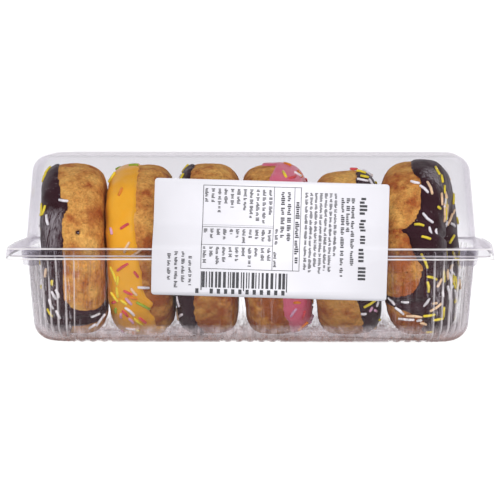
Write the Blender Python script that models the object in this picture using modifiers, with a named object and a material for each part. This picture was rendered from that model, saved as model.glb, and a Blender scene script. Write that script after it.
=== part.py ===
"""A clear hinged box of six ring doughnuts, in metres with +Z up.

The origin is the middle of the box's underside. The row of doughnuts runs along X. The lid's hinge
is along the back of the rim (+Y), and a paper label is stuck to the lid's front (-Y).
"""

import math
import random

import bmesh
import bpy
from mathutils import Matrix, Vector

# The box: driving sizes
HEIGHT = 0.0883  # underside to the top of the lid
FILM = 0.0005  # wall thickness of the formed plastic
GAP = 0.0004  # left between pieces that touch
RIM_Z = 0.0453  # top of the lid's rim
LIP_X = 0.1145  # middle of the box to the end of the lid's lip, at a front corner
LIP_Y = 0.0560  # middle of the box to the front of the lid's lip
LIP_DROP = 0.0054  # the lid's lip, from the top of the rim to its lower edge
LIP_FLARE = 0.0005  # how much wider the lip is at its lower edge
END_BOW = 0.0016  # how far each end of the rim bows out at its middle
RIM_CORNER = 0.0050  # corner radius of the rim in plan
WALL_X = 0.1072  # half length of the walls where they meet the rim
WALL_Y = 0.0498  # half depth of the walls where they meet the rim
WALL_CORNER = 0.0250  # corner radius of the walls in plan
DRAFT = 0.095  # how much the walls lean in for each unit of height
LID_ROUND = 0.0085  # radius from the lid's walls to its top
BASE_ROUND = 0.0100  # radius from the base's walls to its underside
SEAT_GAP = 0.0005  # between the lid's rim and the base's rim
BASE_LIP_DROP = 0.0017  # the base's own short lip
WALL_FOOT = 0.0010  # size of the bevel between the walls and the rims
LIP_BEND = 0.0008  # size of the bevel along the lid's lip
BASE_LIP_BEND = 0.0006  # size of the bevel along the base's lip
ROUND_TURNS = (0, 30, 60, 90)  # degrees at which the round edges have their rings

# The flutes in the base's walls
FLUTE_DEPTH = 0.0012
FLUTE_PITCH = 0.0053
FRONT_FLUTES = 5  # in the middle of the front and of the back
CORNER_FLUTES = 8  # round each corner
SIDE_FLUTES = 3  # beside each corner, on the front and the back
END_FLUTES = 9  # across each end
FLUTES_START = 0.0060  # below the top of the rim

# The snap buttons in the rim's two front corners
BUTTON_X = 0.1021
BUTTON_Y = -0.0486
SOCKET_RADIUS = 0.0050
SOCKET_DEPTH = 0.0072  # below the top of the base's rim
PLUG_RADIUS = 0.0039
PLUG_DEPTH = 0.0052  # below the top of the lid's rim
BUTTON_TAPER = 0.90  # lower radius for an upper radius of 1

# The hinge fold along the back
FOLD_RADIUS = 0.0010
HINGE_Y = 0.0556
HINGE_Z = RIM_Z - FILM - SEAT_GAP / 2
HINGE_LENGTH = 0.190
HINGE_BACK = HINGE_Y - FOLD_RADIUS - GAP  # the back edge of both rims, just clear of the fold

# The label
LABEL_WIDTH = 0.1098
LABEL_HEIGHT = 0.0568
LABEL_X = 0.0098  # its middle
LABEL_TOP = 0.0764  # height of the middle of its upper edge
LABEL_TURN = math.radians(-1.6)
LABEL_CORNER = 0.0015
LABEL_THICK = 0.0003
LABEL_LIFT = 0.0563  # height at which it leaves the lid's wall for the lip
LABEL_LEAN = 0.16  # how much its lower flap leans in for each unit of height
FLAP_END = 0.016  # a height that the flap doesn't reach down to

# The doughnuts, left to right: middle x, middle y, diameter, thickness, hole, turn about Z and lean
# about Y in degrees, and the seed of its unevenness
DOUGHNUTS = (
    (-0.0849, -0.0010, 0.0826, 0.0298, 0.020, 1.5, -1.0, 11),
    (-0.0527, 0.0005, 0.0822, 0.0306, 0.021, 0.0, -0.7, 12),
    (-0.0206, -0.0005, 0.0824, 0.0294, 0.019, 0.0, 0.5, 13),
    (0.0116, 0.0008, 0.0822, 0.0312, 0.020, 0.0, -2.5, 14),
    (0.0456, -0.0010, 0.0784, 0.0302, 0.020, -1.0, -2.0, 15),
    (0.0806, -0.0005, 0.0838, 0.0306, 0.019, -9.0, -3.5, 16),
)
DOUGHNUT_RAISE = FILM + GAP  # the floor that the doughnuts stand on
RING_SEGMENTS = 22
TUBE_SEGMENTS = 12
SQUARENESS = 3.0  # power of the curve that a doughnut's section follows, where 2 is an ellipse
UNEVEN = 0.0007  # size of the slow waves round a doughnut

FRONT, FRONT_RIGHT, RIGHT, BACK_RIGHT, BACK, BACK_LEFT, LEFT, FRONT_LEFT = range(8)
LIPPED_SIDES = (LEFT, FRONT_LEFT, FRONT, FRONT_RIGHT, RIGHT)


def clear_scene():
    for thing in list(bpy.data.objects):
        bpy.data.objects.remove(thing, do_unlink=True)
    for mesh in list(bpy.data.meshes):
        bpy.data.meshes.remove(mesh)


def new_collection(name):
    collection = bpy.data.collections.new(name)
    bpy.context.scene.collection.children.link(collection)
    return collection


def material(name, color, roughness, alpha=1.0, transmission=0.0):
    made = bpy.data.materials.new(name)
    made.use_nodes = True
    shader = made.node_tree.nodes["Principled BSDF"]
    shader.inputs["Base Color"].default_value = (*color, 1.0)
    shader.inputs["Roughness"].default_value = roughness
    shader.inputs["Metallic"].default_value = 0.0
    shader.inputs["Alpha"].default_value = alpha
    shader.inputs["Transmission Weight"].default_value = transmission
    made.diffuse_color = (*color, alpha)
    return made


def object_of(name, bm, collection, look=None):
    mesh = bpy.data.meshes.new(name)
    bm.to_mesh(mesh)
    bm.free()
    made = bpy.data.objects.new(name, mesh)
    collection.objects.link(made)
    if look:
        mesh.materials.append(look)
    return made


def steps(count):
    return [index / count for index in range(count + 1)]


def plain_places():
    """Places round the lid's outline, as (side, how far along it, depth of flute)."""
    places = []
    for side in range(0, 8, 2):
        places += [(side, -1 + 2 * part, 0.0) for part in steps(4 if side in (RIGHT, LEFT) else 2)]
        places += [(side + 1, part, 0.0) for part in steps(6)[1:-1]]
    return places


def flutes_between(start, end, count):
    """(along, depth) from notch to notch: each flute has a crest between two notches."""
    return [
        (start + (end - start) * part, 1.0 - index % 2) for index, part in enumerate(steps(2 * count))
    ]


def fluted_places():
    """Places round the base's outline, with its flutes."""
    straight = WALL_X - WALL_CORNER
    middle = FRONT_FLUTES * FLUTE_PITCH / 2 / straight
    beside = 1 - SIDE_FLUTES * FLUTE_PITCH / straight
    edge = FLUTE_PITCH / 2 / straight
    long_side = flutes_between(-1, -beside, SIDE_FLUTES) + [(-beside + edge, 0.0), (-middle - edge, 0.0)]
    long_side += flutes_between(-middle, middle, FRONT_FLUTES)
    long_side += [(middle + edge, 0.0), (beside - edge, 0.0)] + flutes_between(beside, 1, SIDE_FLUTES)
    end_side = flutes_between(-1, 1, END_FLUTES)
    corner = flutes_between(0, 1, CORNER_FLUTES)[1:-1]
    places = []
    for side in range(0, 8, 2):
        along = end_side if side in (RIGHT, LEFT) else long_side
        places += [(side, part, depth) for part, depth in along]
        places += [(side + 1, part, depth) for part, depth in corner]
    return places


def outline(places, height, half_x, front, back, corner, bow=0.0, flute=0.0):
    """Points round a rectangle with round corners, anticlockwise from above."""
    centres = [
        Vector((half_x - corner, corner - front)),
        Vector((half_x - corner, back - corner)),
        Vector((corner - half_x, back - corner)),
        Vector((corner - half_x, corner - front)),
    ]
    points = []
    for side, along, depth in places:
        turn = (side // 2 - 1) * math.pi / 2
        if side % 2:
            turn += along * math.pi / 2
            middle, out = centres[side // 2], corner
        else:
            middle = centres[side // 2 - 1].lerp(centres[side // 2], (along + 1) / 2)
            out = corner + (bow * (1 - along**2) if side in (RIGHT, LEFT) else 0.0)
        out -= flute * depth
        points.append(Vector((middle.x + out * math.cos(turn), middle.y + out * math.sin(turn), height)))
    return points


def shell_surface(places, rings, lips, cap_ring):
    """Quads from each ring to the next, the cap ring closed by a fan, and no `lips` along the back."""
    bm = bmesh.new()
    loops = [[bm.verts.new(point) for point in ring] for ring in rings]
    for band, (lower, upper) in enumerate(zip(loops, loops[1:])):
        for here in range(len(places)):
            after = (here + 1) % len(places)
            on_lip = places[here][0] in LIPPED_SIDES and places[after][0] in LIPPED_SIDES
            if band in lips and not on_lip:
                continue
            bm.faces.new((lower[here], lower[after], upper[after], upper[here]))
    cap = loops[cap_ring]
    closed = bm.faces.new(cap if cap_ring else cap[::-1])
    bmesh.ops.poke(bm, faces=[closed])
    loose = [vert for vert in bm.verts if not vert.link_faces]
    bmesh.ops.delete(bm, geom=loose, context="VERTS")
    return bm


def thicken(made):
    """Gives the outer surface the film's thickness on its inner side."""
    solid = made.modifiers.new("film", "SOLIDIFY")
    solid.thickness = FILM
    solid.offset = -1.0
    solid.use_even_offset = True


def wall_ring(places, inward, height, flute=0.0):
    """The outline of the walls at one height, `inward` of where they meet the rim."""
    half_y = WALL_Y - inward
    return outline(places, height, WALL_X - inward, half_y, half_y, WALL_CORNER - inward, 0.0, flute)


def rim_ring(places, height, half_x, front, corner=RIM_CORNER):
    """The outline of a rim at one height, its back edge along the hinge."""
    return outline(places, height, half_x, front, HINGE_BACK, corner, END_BOW)


def lid_rings(places):
    narrow_x, narrow_y = LIP_X - LIP_FLARE, LIP_Y - LIP_FLARE
    rings = [
        rim_ring(places, RIM_Z - LIP_DROP, LIP_X, LIP_Y),
        rim_ring(places, RIM_Z - LIP_BEND, narrow_x, narrow_y),
        rim_ring(places, RIM_Z, narrow_x - LIP_BEND, narrow_y - LIP_BEND),
        wall_ring(places, -WALL_FOOT, RIM_Z),
        wall_ring(places, 0.0, RIM_Z + WALL_FOOT),
    ]
    round_z = HEIGHT - LID_ROUND
    lean = DRAFT * (round_z - RIM_Z - WALL_FOOT)
    for turn in ROUND_TURNS:
        inward = lean + LID_ROUND * (1 - math.cos(math.radians(turn)))
        height = round_z + LID_ROUND * math.sin(math.radians(turn))
        rings.append(wall_ring(places, inward, height))
    return rings


def base_rings(places):
    top_z = RIM_Z - FILM - SEAT_GAP - FILM
    lean = DRAFT * (top_z - BASE_ROUND)
    rings = []
    for turn in ROUND_TURNS:
        inward = lean + BASE_ROUND * (1 - math.sin(math.radians(turn)))
        height = BASE_ROUND * (1 - math.cos(math.radians(turn)))
        rings.append(wall_ring(places, inward, height, FLUTE_DEPTH if turn else 0.0))
    start_z = RIM_Z - FLUTES_START
    rings.append(wall_ring(places, DRAFT * (top_z - start_z), start_z, FLUTE_DEPTH))
    rings.append(wall_ring(places, 0.0, top_z - WALL_FOOT))
    rings.append(wall_ring(places, -WALL_FOOT, top_z))
    inner_x = LIP_X - LIP_FLARE - FILM - 2 * GAP - FILM
    inner_y = LIP_Y - LIP_FLARE - FILM - GAP - FILM
    bend = BASE_LIP_BEND
    rings.append(rim_ring(places, top_z, inner_x - bend, inner_y - bend, RIM_CORNER - bend))
    rings.append(rim_ring(places, top_z - bend, inner_x, inner_y))
    rings.append(rim_ring(places, top_z + FILM - bend - BASE_LIP_DROP, inner_x, inner_y))
    return rings


def buttons(name, radius, top, low, collection):
    """Two tapered round blocks, one at each front corner of the rim."""
    bm = bmesh.new()
    for side in (-1, 1):
        made = bmesh.ops.create_cone(
            bm,
            cap_ends=True,
            segments=16,
            radius1=radius * BUTTON_TAPER,
            radius2=radius,
            depth=top - low,
        )
        place = Vector((side * BUTTON_X, BUTTON_Y, (top + low) / 2))
        bmesh.ops.translate(bm, vec=place, verts=made["verts"])
    made = object_of(name, bm, collection)
    made.hide_render = True
    made.display_type = "WIRE"
    return made


def form_buttons(made, radius, rim_top, depth, cutters):
    """A hollow cup pressed down into the rim at each front corner."""
    low = rim_top - depth
    block = buttons(made.name + "_button", radius, rim_top - FILM / 2, low, cutters)
    hollow = buttons(made.name + "_hollow", radius - FILM, rim_top + FILM, low + FILM, cutters)
    for other, operation in ((block, "UNION"), (hollow, "DIFFERENCE")):
        step = made.modifiers.new(other.name, "BOOLEAN")
        step.object = other
        step.operation = operation
        step.solver = "EXACT"


def make_base(collection, cutters, look):
    places = fluted_places()
    rings = base_rings(places)
    bm = shell_surface(places, rings, lips=(7, 8), cap_ring=0)
    made = object_of("box_base", bm, collection, look)
    thicken(made)
    form_buttons(made, SOCKET_RADIUS, RIM_Z - FILM - SEAT_GAP, SOCKET_DEPTH, cutters)


def make_lid(collection, cutters, look):
    places = plain_places()
    rings = lid_rings(places)
    bm = shell_surface(places, rings, lips=(0, 1), cap_ring=len(rings) - 1)
    made = object_of("box_lid", bm, collection, look)
    thicken(made)
    form_buttons(made, PLUG_RADIUS, RIM_Z, PLUG_DEPTH, cutters)
    return made


def make_hinge(collection, look):
    """The rounded fold of film that the lid turns on."""
    curve = bpy.data.curves.new("hinge_fold", "CURVE")
    curve.dimensions = "3D"
    curve.bevel_depth = FOLD_RADIUS
    curve.bevel_resolution = 2
    curve.use_fill_caps = True
    spline = curve.splines.new("POLY")
    spline.points.add(1)
    for point, side in zip(spline.points, (-1, 1)):
        point.co = (side * HINGE_LENGTH / 2, 0.0, 0.0, 1.0)
    made = bpy.data.objects.new("hinge_fold", curve)
    made.location = (0.0, HINGE_Y, HINGE_Z)
    curve.materials.append(look)
    collection.objects.link(made)


def label_path():
    """(distance down the label's back, y, z) at each bend, from above its upper edge to below its lower one."""
    wall = WALL_Y - DRAFT * (HEIGHT - LID_ROUND - RIM_Z)
    clear = GAP / math.cos(math.atan(DRAFT))
    lift_y = WALL_Y - DRAFT * (LABEL_LIFT - RIM_Z)
    lip_out = LIP_Y + GAP
    corners = [
        (-wall - clear, HEIGHT - LID_ROUND),
        (-lift_y - clear, LABEL_LIFT),
        (-lip_out, RIM_Z + GAP),
        (-lip_out, RIM_Z - LIP_DROP - GAP),
        (-lip_out + LABEL_LEAN * (RIM_Z - LIP_DROP - GAP - FLAP_END), FLAP_END),
    ]
    path, distance = [], 0.0
    for index, corner in enumerate(corners):
        if index:
            distance += (Vector(corner) - Vector(corners[index - 1])).length
        path.append((distance, *corner))
    return path


def on_path(path, distance):
    for (start, *low), (end, *high) in zip(path, path[1:]):
        if distance <= end:
            break
    return Vector(low).lerp(Vector(high), (distance - start) / (end - start))


def make_label(collection, look):
    path = label_path()
    down = path[0][2] - LABEL_TOP
    bm = bmesh.new()
    bmesh.ops.create_grid(bm, x_segments=1, y_segments=1, size=0.5)
    bmesh.ops.scale(bm, vec=(LABEL_WIDTH, LABEL_HEIGHT, 1.0), verts=bm.verts)
    bmesh.ops.bevel(
        bm, geom=bm.verts[:], offset=LABEL_CORNER, segments=2, profile=0.5, affect="VERTICES", material=-1
    )
    bmesh.ops.rotate(bm, matrix=Matrix.Rotation(LABEL_TURN, 3, "Z"), verts=bm.verts)
    bmesh.ops.translate(bm, vec=(0.0, -down - LABEL_HEIGHT / 2, 0.0), verts=bm.verts)
    for distance, _, _ in path[1:-1]:
        bmesh.ops.bisect_plane(
            bm,
            geom=bm.verts[:] + bm.edges[:] + bm.faces[:],
            plane_co=(0.0, -distance, 0.0),
            plane_no=(0.0, 1.0, 0.0),
        )
    for vert in bm.verts:
        y, z = on_path(path, -vert.co.y)
        vert.co = (LABEL_X + vert.co.x, y, z)
    bmesh.ops.recalc_face_normals(bm, faces=bm.faces)
    if sum(face.normal.y for face in bm.faces) > 0:
        bmesh.ops.reverse_faces(bm, faces=bm.faces)
    made = object_of("label", bm, collection, look)
    sheet = made.modifiers.new("paper", "SOLIDIFY")
    sheet.thickness = LABEL_THICK
    sheet.offset = 1.0
    sheet.use_even_offset = True
    return made


def squared(part):
    """A round section's coordinate moved out onto a squarer section."""
    return math.copysign(abs(part) ** (2 / SQUARENESS), part)


def shape_doughnut(mesh, diameter, thickness, hole, seed):
    """Makes an even ring uneven: a squarer section, its thickness, and slow waves round it."""
    chance = random.Random(seed)
    waves = [(count, chance.uniform(-1, 1) / count, chance.uniform(0, math.tau)) for count in (2, 3, 5)]
    middle_radius = (diameter + hole) / 4
    tube = (diameter - hole) / 4
    for vert in mesh.vertices:
        across, side = math.hypot(vert.co.x, vert.co.y), vert.co.z
        turn = math.atan2(vert.co.y, vert.co.x)
        wave = sum(size * math.cos(count * turn + start) for count, size, start in waves)
        outward, sideways = squared((across - middle_radius) / tube), squared(side / tube)
        across = middle_radius + tube * outward + UNEVEN * wave * (1 + outward) / 2
        side = thickness / 2 * sideways * (1 + 0.03 * wave)
        vert.co = (across * math.cos(turn), across * math.sin(turn), side)


def make_doughnut(number, numbers, collection, look):
    x, y, diameter, thickness, hole, turn, lean, seed = numbers
    bpy.ops.mesh.primitive_torus_add(
        major_segments=RING_SEGMENTS,
        minor_segments=TUBE_SEGMENTS,
        major_radius=(diameter + hole) / 4,
        minor_radius=(diameter - hole) / 4,
    )
    made = bpy.context.object
    made.name = f"doughnut_{number}"
    made.data.name = made.name
    shape_doughnut(made.data, diameter, thickness, hole, seed)
    made.rotation_euler = (0.0, math.radians(90 + lean), math.radians(turn))
    made.data.materials.append(look)
    bpy.context.view_layer.update()
    lowest = min((made.matrix_world @ vert.co).z for vert in made.data.vertices)
    made.location = (x, y, DOUGHNUT_RAISE - lowest)
    for other in list(made.users_collection):
        other.objects.unlink(made)
    collection.objects.link(made)


def main():
    clear_scene()
    parts = new_collection("doughnut_box")
    cutters = new_collection("cutters")
    film = material("clear_film", (0.93, 0.93, 0.95), 0.05, alpha=0.35, transmission=1.0)
    paper = material("label_paper", (0.86, 0.85, 0.90), 0.55)
    cake = material("cake", (0.52, 0.27, 0.10), 0.8)

    make_base(parts, cutters, film)
    lid = make_lid(parts, cutters, film)
    make_hinge(parts, film)
    label = make_label(parts, paper)
    pivot = bpy.data.objects.new("lid_pivot", None)
    pivot.location = (0.0, HINGE_Y, HINGE_Z)
    parts.objects.link(pivot)
    for made in (lid, label):
        made.parent = pivot
        made.location = -pivot.location
    for number, numbers in enumerate(DOUGHNUTS, start=1):
        make_doughnut(number, numbers, parts, cake)


main()
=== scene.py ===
import math
import random
from functools import cached_property

import bmesh
import bpy
from mathutils import Matrix, Vector, noise


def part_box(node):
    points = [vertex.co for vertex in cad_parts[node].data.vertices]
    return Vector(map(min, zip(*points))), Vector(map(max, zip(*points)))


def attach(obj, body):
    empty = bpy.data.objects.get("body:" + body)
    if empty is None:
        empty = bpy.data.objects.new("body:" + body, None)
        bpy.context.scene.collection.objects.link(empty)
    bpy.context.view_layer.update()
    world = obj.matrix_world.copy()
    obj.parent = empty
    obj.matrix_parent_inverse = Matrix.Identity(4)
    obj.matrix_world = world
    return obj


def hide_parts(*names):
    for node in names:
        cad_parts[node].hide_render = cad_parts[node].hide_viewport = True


bl_info = {
    "name": "Clear box of ring doughnuts",
    "version": (1, 0, 0),
    "blender": (4, 5, 0),
    "location": "View3D > Sidebar > Doughnut box",
    "description": "Makes the film, label, doughnuts, glaze, sprinkles and stage of a clear hinged box",
    "category": "Object",
}

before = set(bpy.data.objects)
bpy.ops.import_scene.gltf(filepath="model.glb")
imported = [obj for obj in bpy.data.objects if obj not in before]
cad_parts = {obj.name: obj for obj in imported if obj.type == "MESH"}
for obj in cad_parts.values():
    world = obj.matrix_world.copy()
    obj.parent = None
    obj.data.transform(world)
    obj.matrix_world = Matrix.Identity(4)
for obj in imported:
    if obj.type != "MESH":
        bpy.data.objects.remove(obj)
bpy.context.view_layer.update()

MM = 0.001
BASE_TOP_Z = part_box("box_base")[1].z
LID_LOW, LID_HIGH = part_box("box_lid")
FOLD_LOW, FOLD_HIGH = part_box("hinge_fold")

# The box: places taken from the frame
HEIGHT = LID_HIGH.z
LIP_LOW_Z = LID_LOW.z  # lower edge of the lid's lip
LIP_Y = -LID_LOW.y
HINGE_BACK = LID_HIGH.y

# The box: sizes in metres
FILM = 0.5 * MM
FLOOR_Z = FILM + 0.1 * MM  # the glaze and the sprinkles stay above this height
CAKE_FLOOR_Z = FLOOR_Z + 0.2 * MM  # the cake stays above this one
GAP = 0.4 * MM  # between the lid, the base's lip and the label
SEAT_GAP = 0.5 * MM  # between the two rims
RIM_Z = BASE_TOP_Z + SEAT_GAP + FILM
LIP_X = 114.5 * MM
LIP_FLARE = 0.5 * MM
END_BOW = 1.6 * MM  # how far the rim's ends bow out
RIM_CORNER = 5.0 * MM
WALL_X = 107.2 * MM
WALL_Y = 49.8 * MM
WALL_CORNER = 25.0 * MM
DRAFT = 0.095  # how far the walls lean in for each metre of height
LID_ROUND = 8.5 * MM
BASE_ROUND = 10.0 * MM
BASE_LIP_DROP = 3.1 * MM
WALL_FOOT = 1.0 * MM
LIP_BEND = 0.8 * MM
LIP_EDGE = 0.7 * MM
BASE_LIP_BEND = 0.6 * MM

FLUTE_PITCH = 5.3 * MM
FRONT_FLUTES = 5
CORNER_FLUTES = 8
SIDE_FLUTES = 3
END_FLUTES = 9
FLUTES_START = 6.0 * MM  # below the rim
FLUTE_STEPS = (0.0, 0.05, 0.14, 0.3, 0.5, 0.7, 0.86, 0.95)  # places across one flute

BUTTON_X = 102.1 * MM
BUTTON_Y = -48.6 * MM
SOCKET_RADIUS = 5.0 * MM
SOCKET_DEPTH = 7.2 * MM
PLUG_RADIUS = 3.9 * MM
PLUG_DEPTH = 5.2 * MM
BUTTON_TAPER = 0.90

LABEL_X = 9.8 * MM
LABEL_TOP = 76.4 * MM
LABEL_TURN = math.radians(-1.6)
LABEL_CORNER = 1.5 * MM
LABEL_THICK = 0.25 * MM
BEND_REACH = 1.2 * MM  # how far the label's bends are spread to each side
LABEL_LIFT = 56.3 * MM  # height where the label leaves the lid's wall for its lip
LABEL_LEAN = 0.16  # how far the loose end swings in for each metre down
FLAP_END = 16.0 * MM
INK_THICK = 0.03 * MM
INK_GAP = 0.04 * MM
# The label's print, in millimetres from its upper left corner: x to the right, y down
RULES = (  # x, y, width and height
    (23.0, 2.6, 46.0, 0.26), (22.8, 2.6, 0.26, 41.0), (68.6, 2.6, 0.26, 41.0), (65.6, 2.6, 0.22, 41.0),
    (56.0, 2.6, 0.22, 41.0), (22.8, 43.5, 46.0, 0.26), (22.9, 22.4, 33.2, 0.22), (22.9, 32.2, 33.2, 0.22),
    (22.9, 21.4, 33.2, 0.10),
)
# Columns of strokes: x, start, end, width, stroke, then fewest and most strokes in a run
HEADINGS = (
    (66.3, 9.5, 40.0, 1.9, 0.70, (3, 9)), (62.4, 5.0, 29.0, 1.8, 0.62, (2, 7)),
    (59.4, 5.0, 27.0, 1.8, 0.62, (2, 7)), (57.0, 23.0, 31.0, 1.4, 0.45, (2, 7)),
    (56.6, 35.0, 42.0, 1.4, 0.45, (2, 7)),
)
BOLD_COLUMNS = (
    (87.6, 7.0, 45.5, 1.6, 0.60, (3, 8)), (90.0, 7.0, 23.5, 1.6, 0.60, (3, 8)),
    (92.3, 7.0, 40.5, 1.6, 0.60, (3, 8)), (96.2, 6.6, 48.5, 3.5, 1.1, (3, 5), 0.55),
)

FRONT, FRONT_RIGHT, RIGHT, BACK_RIGHT, BACK, BACK_LEFT, LEFT, FRONT_LEFT = range(8)
LIPPED_SIDES = (LEFT, FRONT_LEFT, FRONT, FRONT_RIGHT, RIGHT)

# The film's looks, and their places in the list that film_looks gives
FILM_LOOKS = (
    "formed_film", "film_cut_edge", "film_crease", "fluted_film", "level_film", "film_bend", "corner_film"
)
FORMED, CUT_EDGE, CREASE, FLUTED, LEVEL, BEND, CORNER = range(len(FILM_LOOKS))
STRAIGHT_SHEEN = 0.012  # of film seen straight on

# The doughnuts, left to right: middle x, middle y, diameter, thickness, hole, turn about Z and lean
# about Y in degrees, and the seed of the slow waves
DOUGHNUTS = (
    (-0.0849, -0.0010, 0.0826, 0.0298, 0.020, 1.5, -1.0, 11),
    (-0.0527, 0.0005, 0.0822, 0.0306, 0.021, 0.0, -0.7, 12),
    (-0.0206, -0.0005, 0.0824, 0.0294, 0.019, 0.0, 0.5, 13),
    (0.0116, 0.0008, 0.0822, 0.0312, 0.020, 0.0, -2.5, 14),
    (0.0456, -0.0010, 0.0784, 0.0302, 0.020, -1.0, -2.0, 15),
    (0.0806, -0.0005, 0.0838, 0.0306, 0.019, -9.0, -3.5, 16),
)
SQUARENESS = 3.0  # of the section: 2 is an ellipse, and more is squarer
UNEVEN = 0.7 * MM
GLAZE_ROUNDING = 1.3 * MM  # width of the glaze's rounded edge
GLAZE_SINK = 0.6 * MM  # how far the hidden rest of the glaze's skin lies below the cake's
GLAZE_STEP = 0.5 * MM  # width of the slope from there up to the glaze's edge
GLAZE_INNER, GLAZE_WAVER = 152, 10  # degrees across the rim to its end in the hole, and how far that wavers
BARE_SIDE = -120  # degrees across the rim past which there is no glaze

# Each doughnut's glaze: its look, the side it is on, and its edge as (degrees round the ring, with 0
# at the front and 90 on top, degrees across the rim, with 0 in its middle and 90 on the glazed face)
GLAZES = (
    ("chocolate", -1, ((90, 27), (62, 27), (45, 21), (39, 18), (37, 10), (31, 6), (28, 13), (19, 17),
                       (6, 16), (-32, 17), (-36, 9), (-41, 2), (-43, -20), (-45, -62), (-57, -66),
                       (-59, -24), (-61, 0), (-66, 9), (-90, 16), (-150, 24), (150, 24))),
    ("orange", -1, ((83, 3), (53, 5), (30, 5), (23, 8), (6, 4), (-15, -4), (-24, -5), (-31, -12),
                    (-37, -23), (-43, -16), (-52, -23), (-65, -25), (-75, -40), (-100, -30), (-150, 10),
                    (150, 6))),
    ("chocolate", -1, ((80, 29), (63, 35), (20, 30), (-33, 23), (-50, 22), (-62, 16), (-74, 8),
                       (-120, 20), (160, 28))),
    ("pink", 1, ((86, -18), (81, 4), (67, 2), (58, -5), (20, 0), (-33, 10), (-47, 12), (-56, 18),
                 (-85, 20), (-140, 12), (150, -6))),
    ("chocolate", 1, ((90, 23), (64, 23), (20, 18), (-35, 20), (-48, 24), (-72, 26), (-130, 18),
                      (150, 22))),
    ("chocolate", 1, ((89, -3), (61, 8), (54, 21), (32, 24), (25, 21), (20, 12), (16, -2), (14.5, -12),
                      (13, -2), (10, 3), (3, 7), (-4, 16), (-12, 23), (-24, 12), (-30, -7),
                      (-32, -34), (-34, -60), (-39, -62), (-41, -34), (-44, -13), (-50, 4), (-58, 15),
                      (-64, 6), (-70, 4), (-78, 20), (-90, 20), (-150, 12), (150, 8))),
)
# How brown each doughnut's cake is, on its upper and its lower part. The upper value is browning, and the
# rise to the lower value is painted shade, darker towards the bottom
BROWNING_AND_LOW_SHADE = ((0.06, 0.22), (0.20, 0.58), (0.04, 0.50), (0.08, 0.66), (0.03, 0.22), (0.26, 0.76))
# Dark spots on the cake; the row on doughnut 6 along its crease at 14.5 degrees is painted shade in the
# crease. Each is doughnut, degrees round the ring, degrees across the rim, radius, strength
DARK_SPOTS_AND_CREASE_SHADE = ((1, 27, 40, 6.0 * MM, 0.75), (1, -35, 66, 9.0 * MM, 0.5), (5, 70, -50, 9.0 * MM, 0.6),
               (6, 14.5, -66, 2.6 * MM, 1.0), (6, 14.5, -50, 2.4 * MM, 1.0), (6, 14.5, -36, 2.2 * MM, 1.0),
               (6, 14.5, -24, 2.0 * MM, 1.0), (6, 14.5, -12, 2.0 * MM, 1.0))
# A small hole in the crust: doughnut, degrees round the ring, degrees across the rim, radius, depth
PIT = (1, 14, 11, 1.7 * MM, 1.1 * MM)
# Painted reflections on the chocolate: grey streaked patches that stand in for the glaze mirroring its bright
# surroundings. Each is doughnut, degrees round the ring, degrees across the rim, radius
PAINTED_GLAZE_REFLECTIONS = ((1, 22, -38, 8.5 * MM), (1, 8, -42, 7.0 * MM), (6, 62, 44, 8.0 * MM))
# Creases in the cake: doughnut, degrees round the ring, half width in degrees, depth
CREASES = ((1, -51, 5.0, 1.0 * MM), (6, 14.5, 5.0, 1.9 * MM), (6, -36, 5.0, 1.3 * MM))

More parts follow.
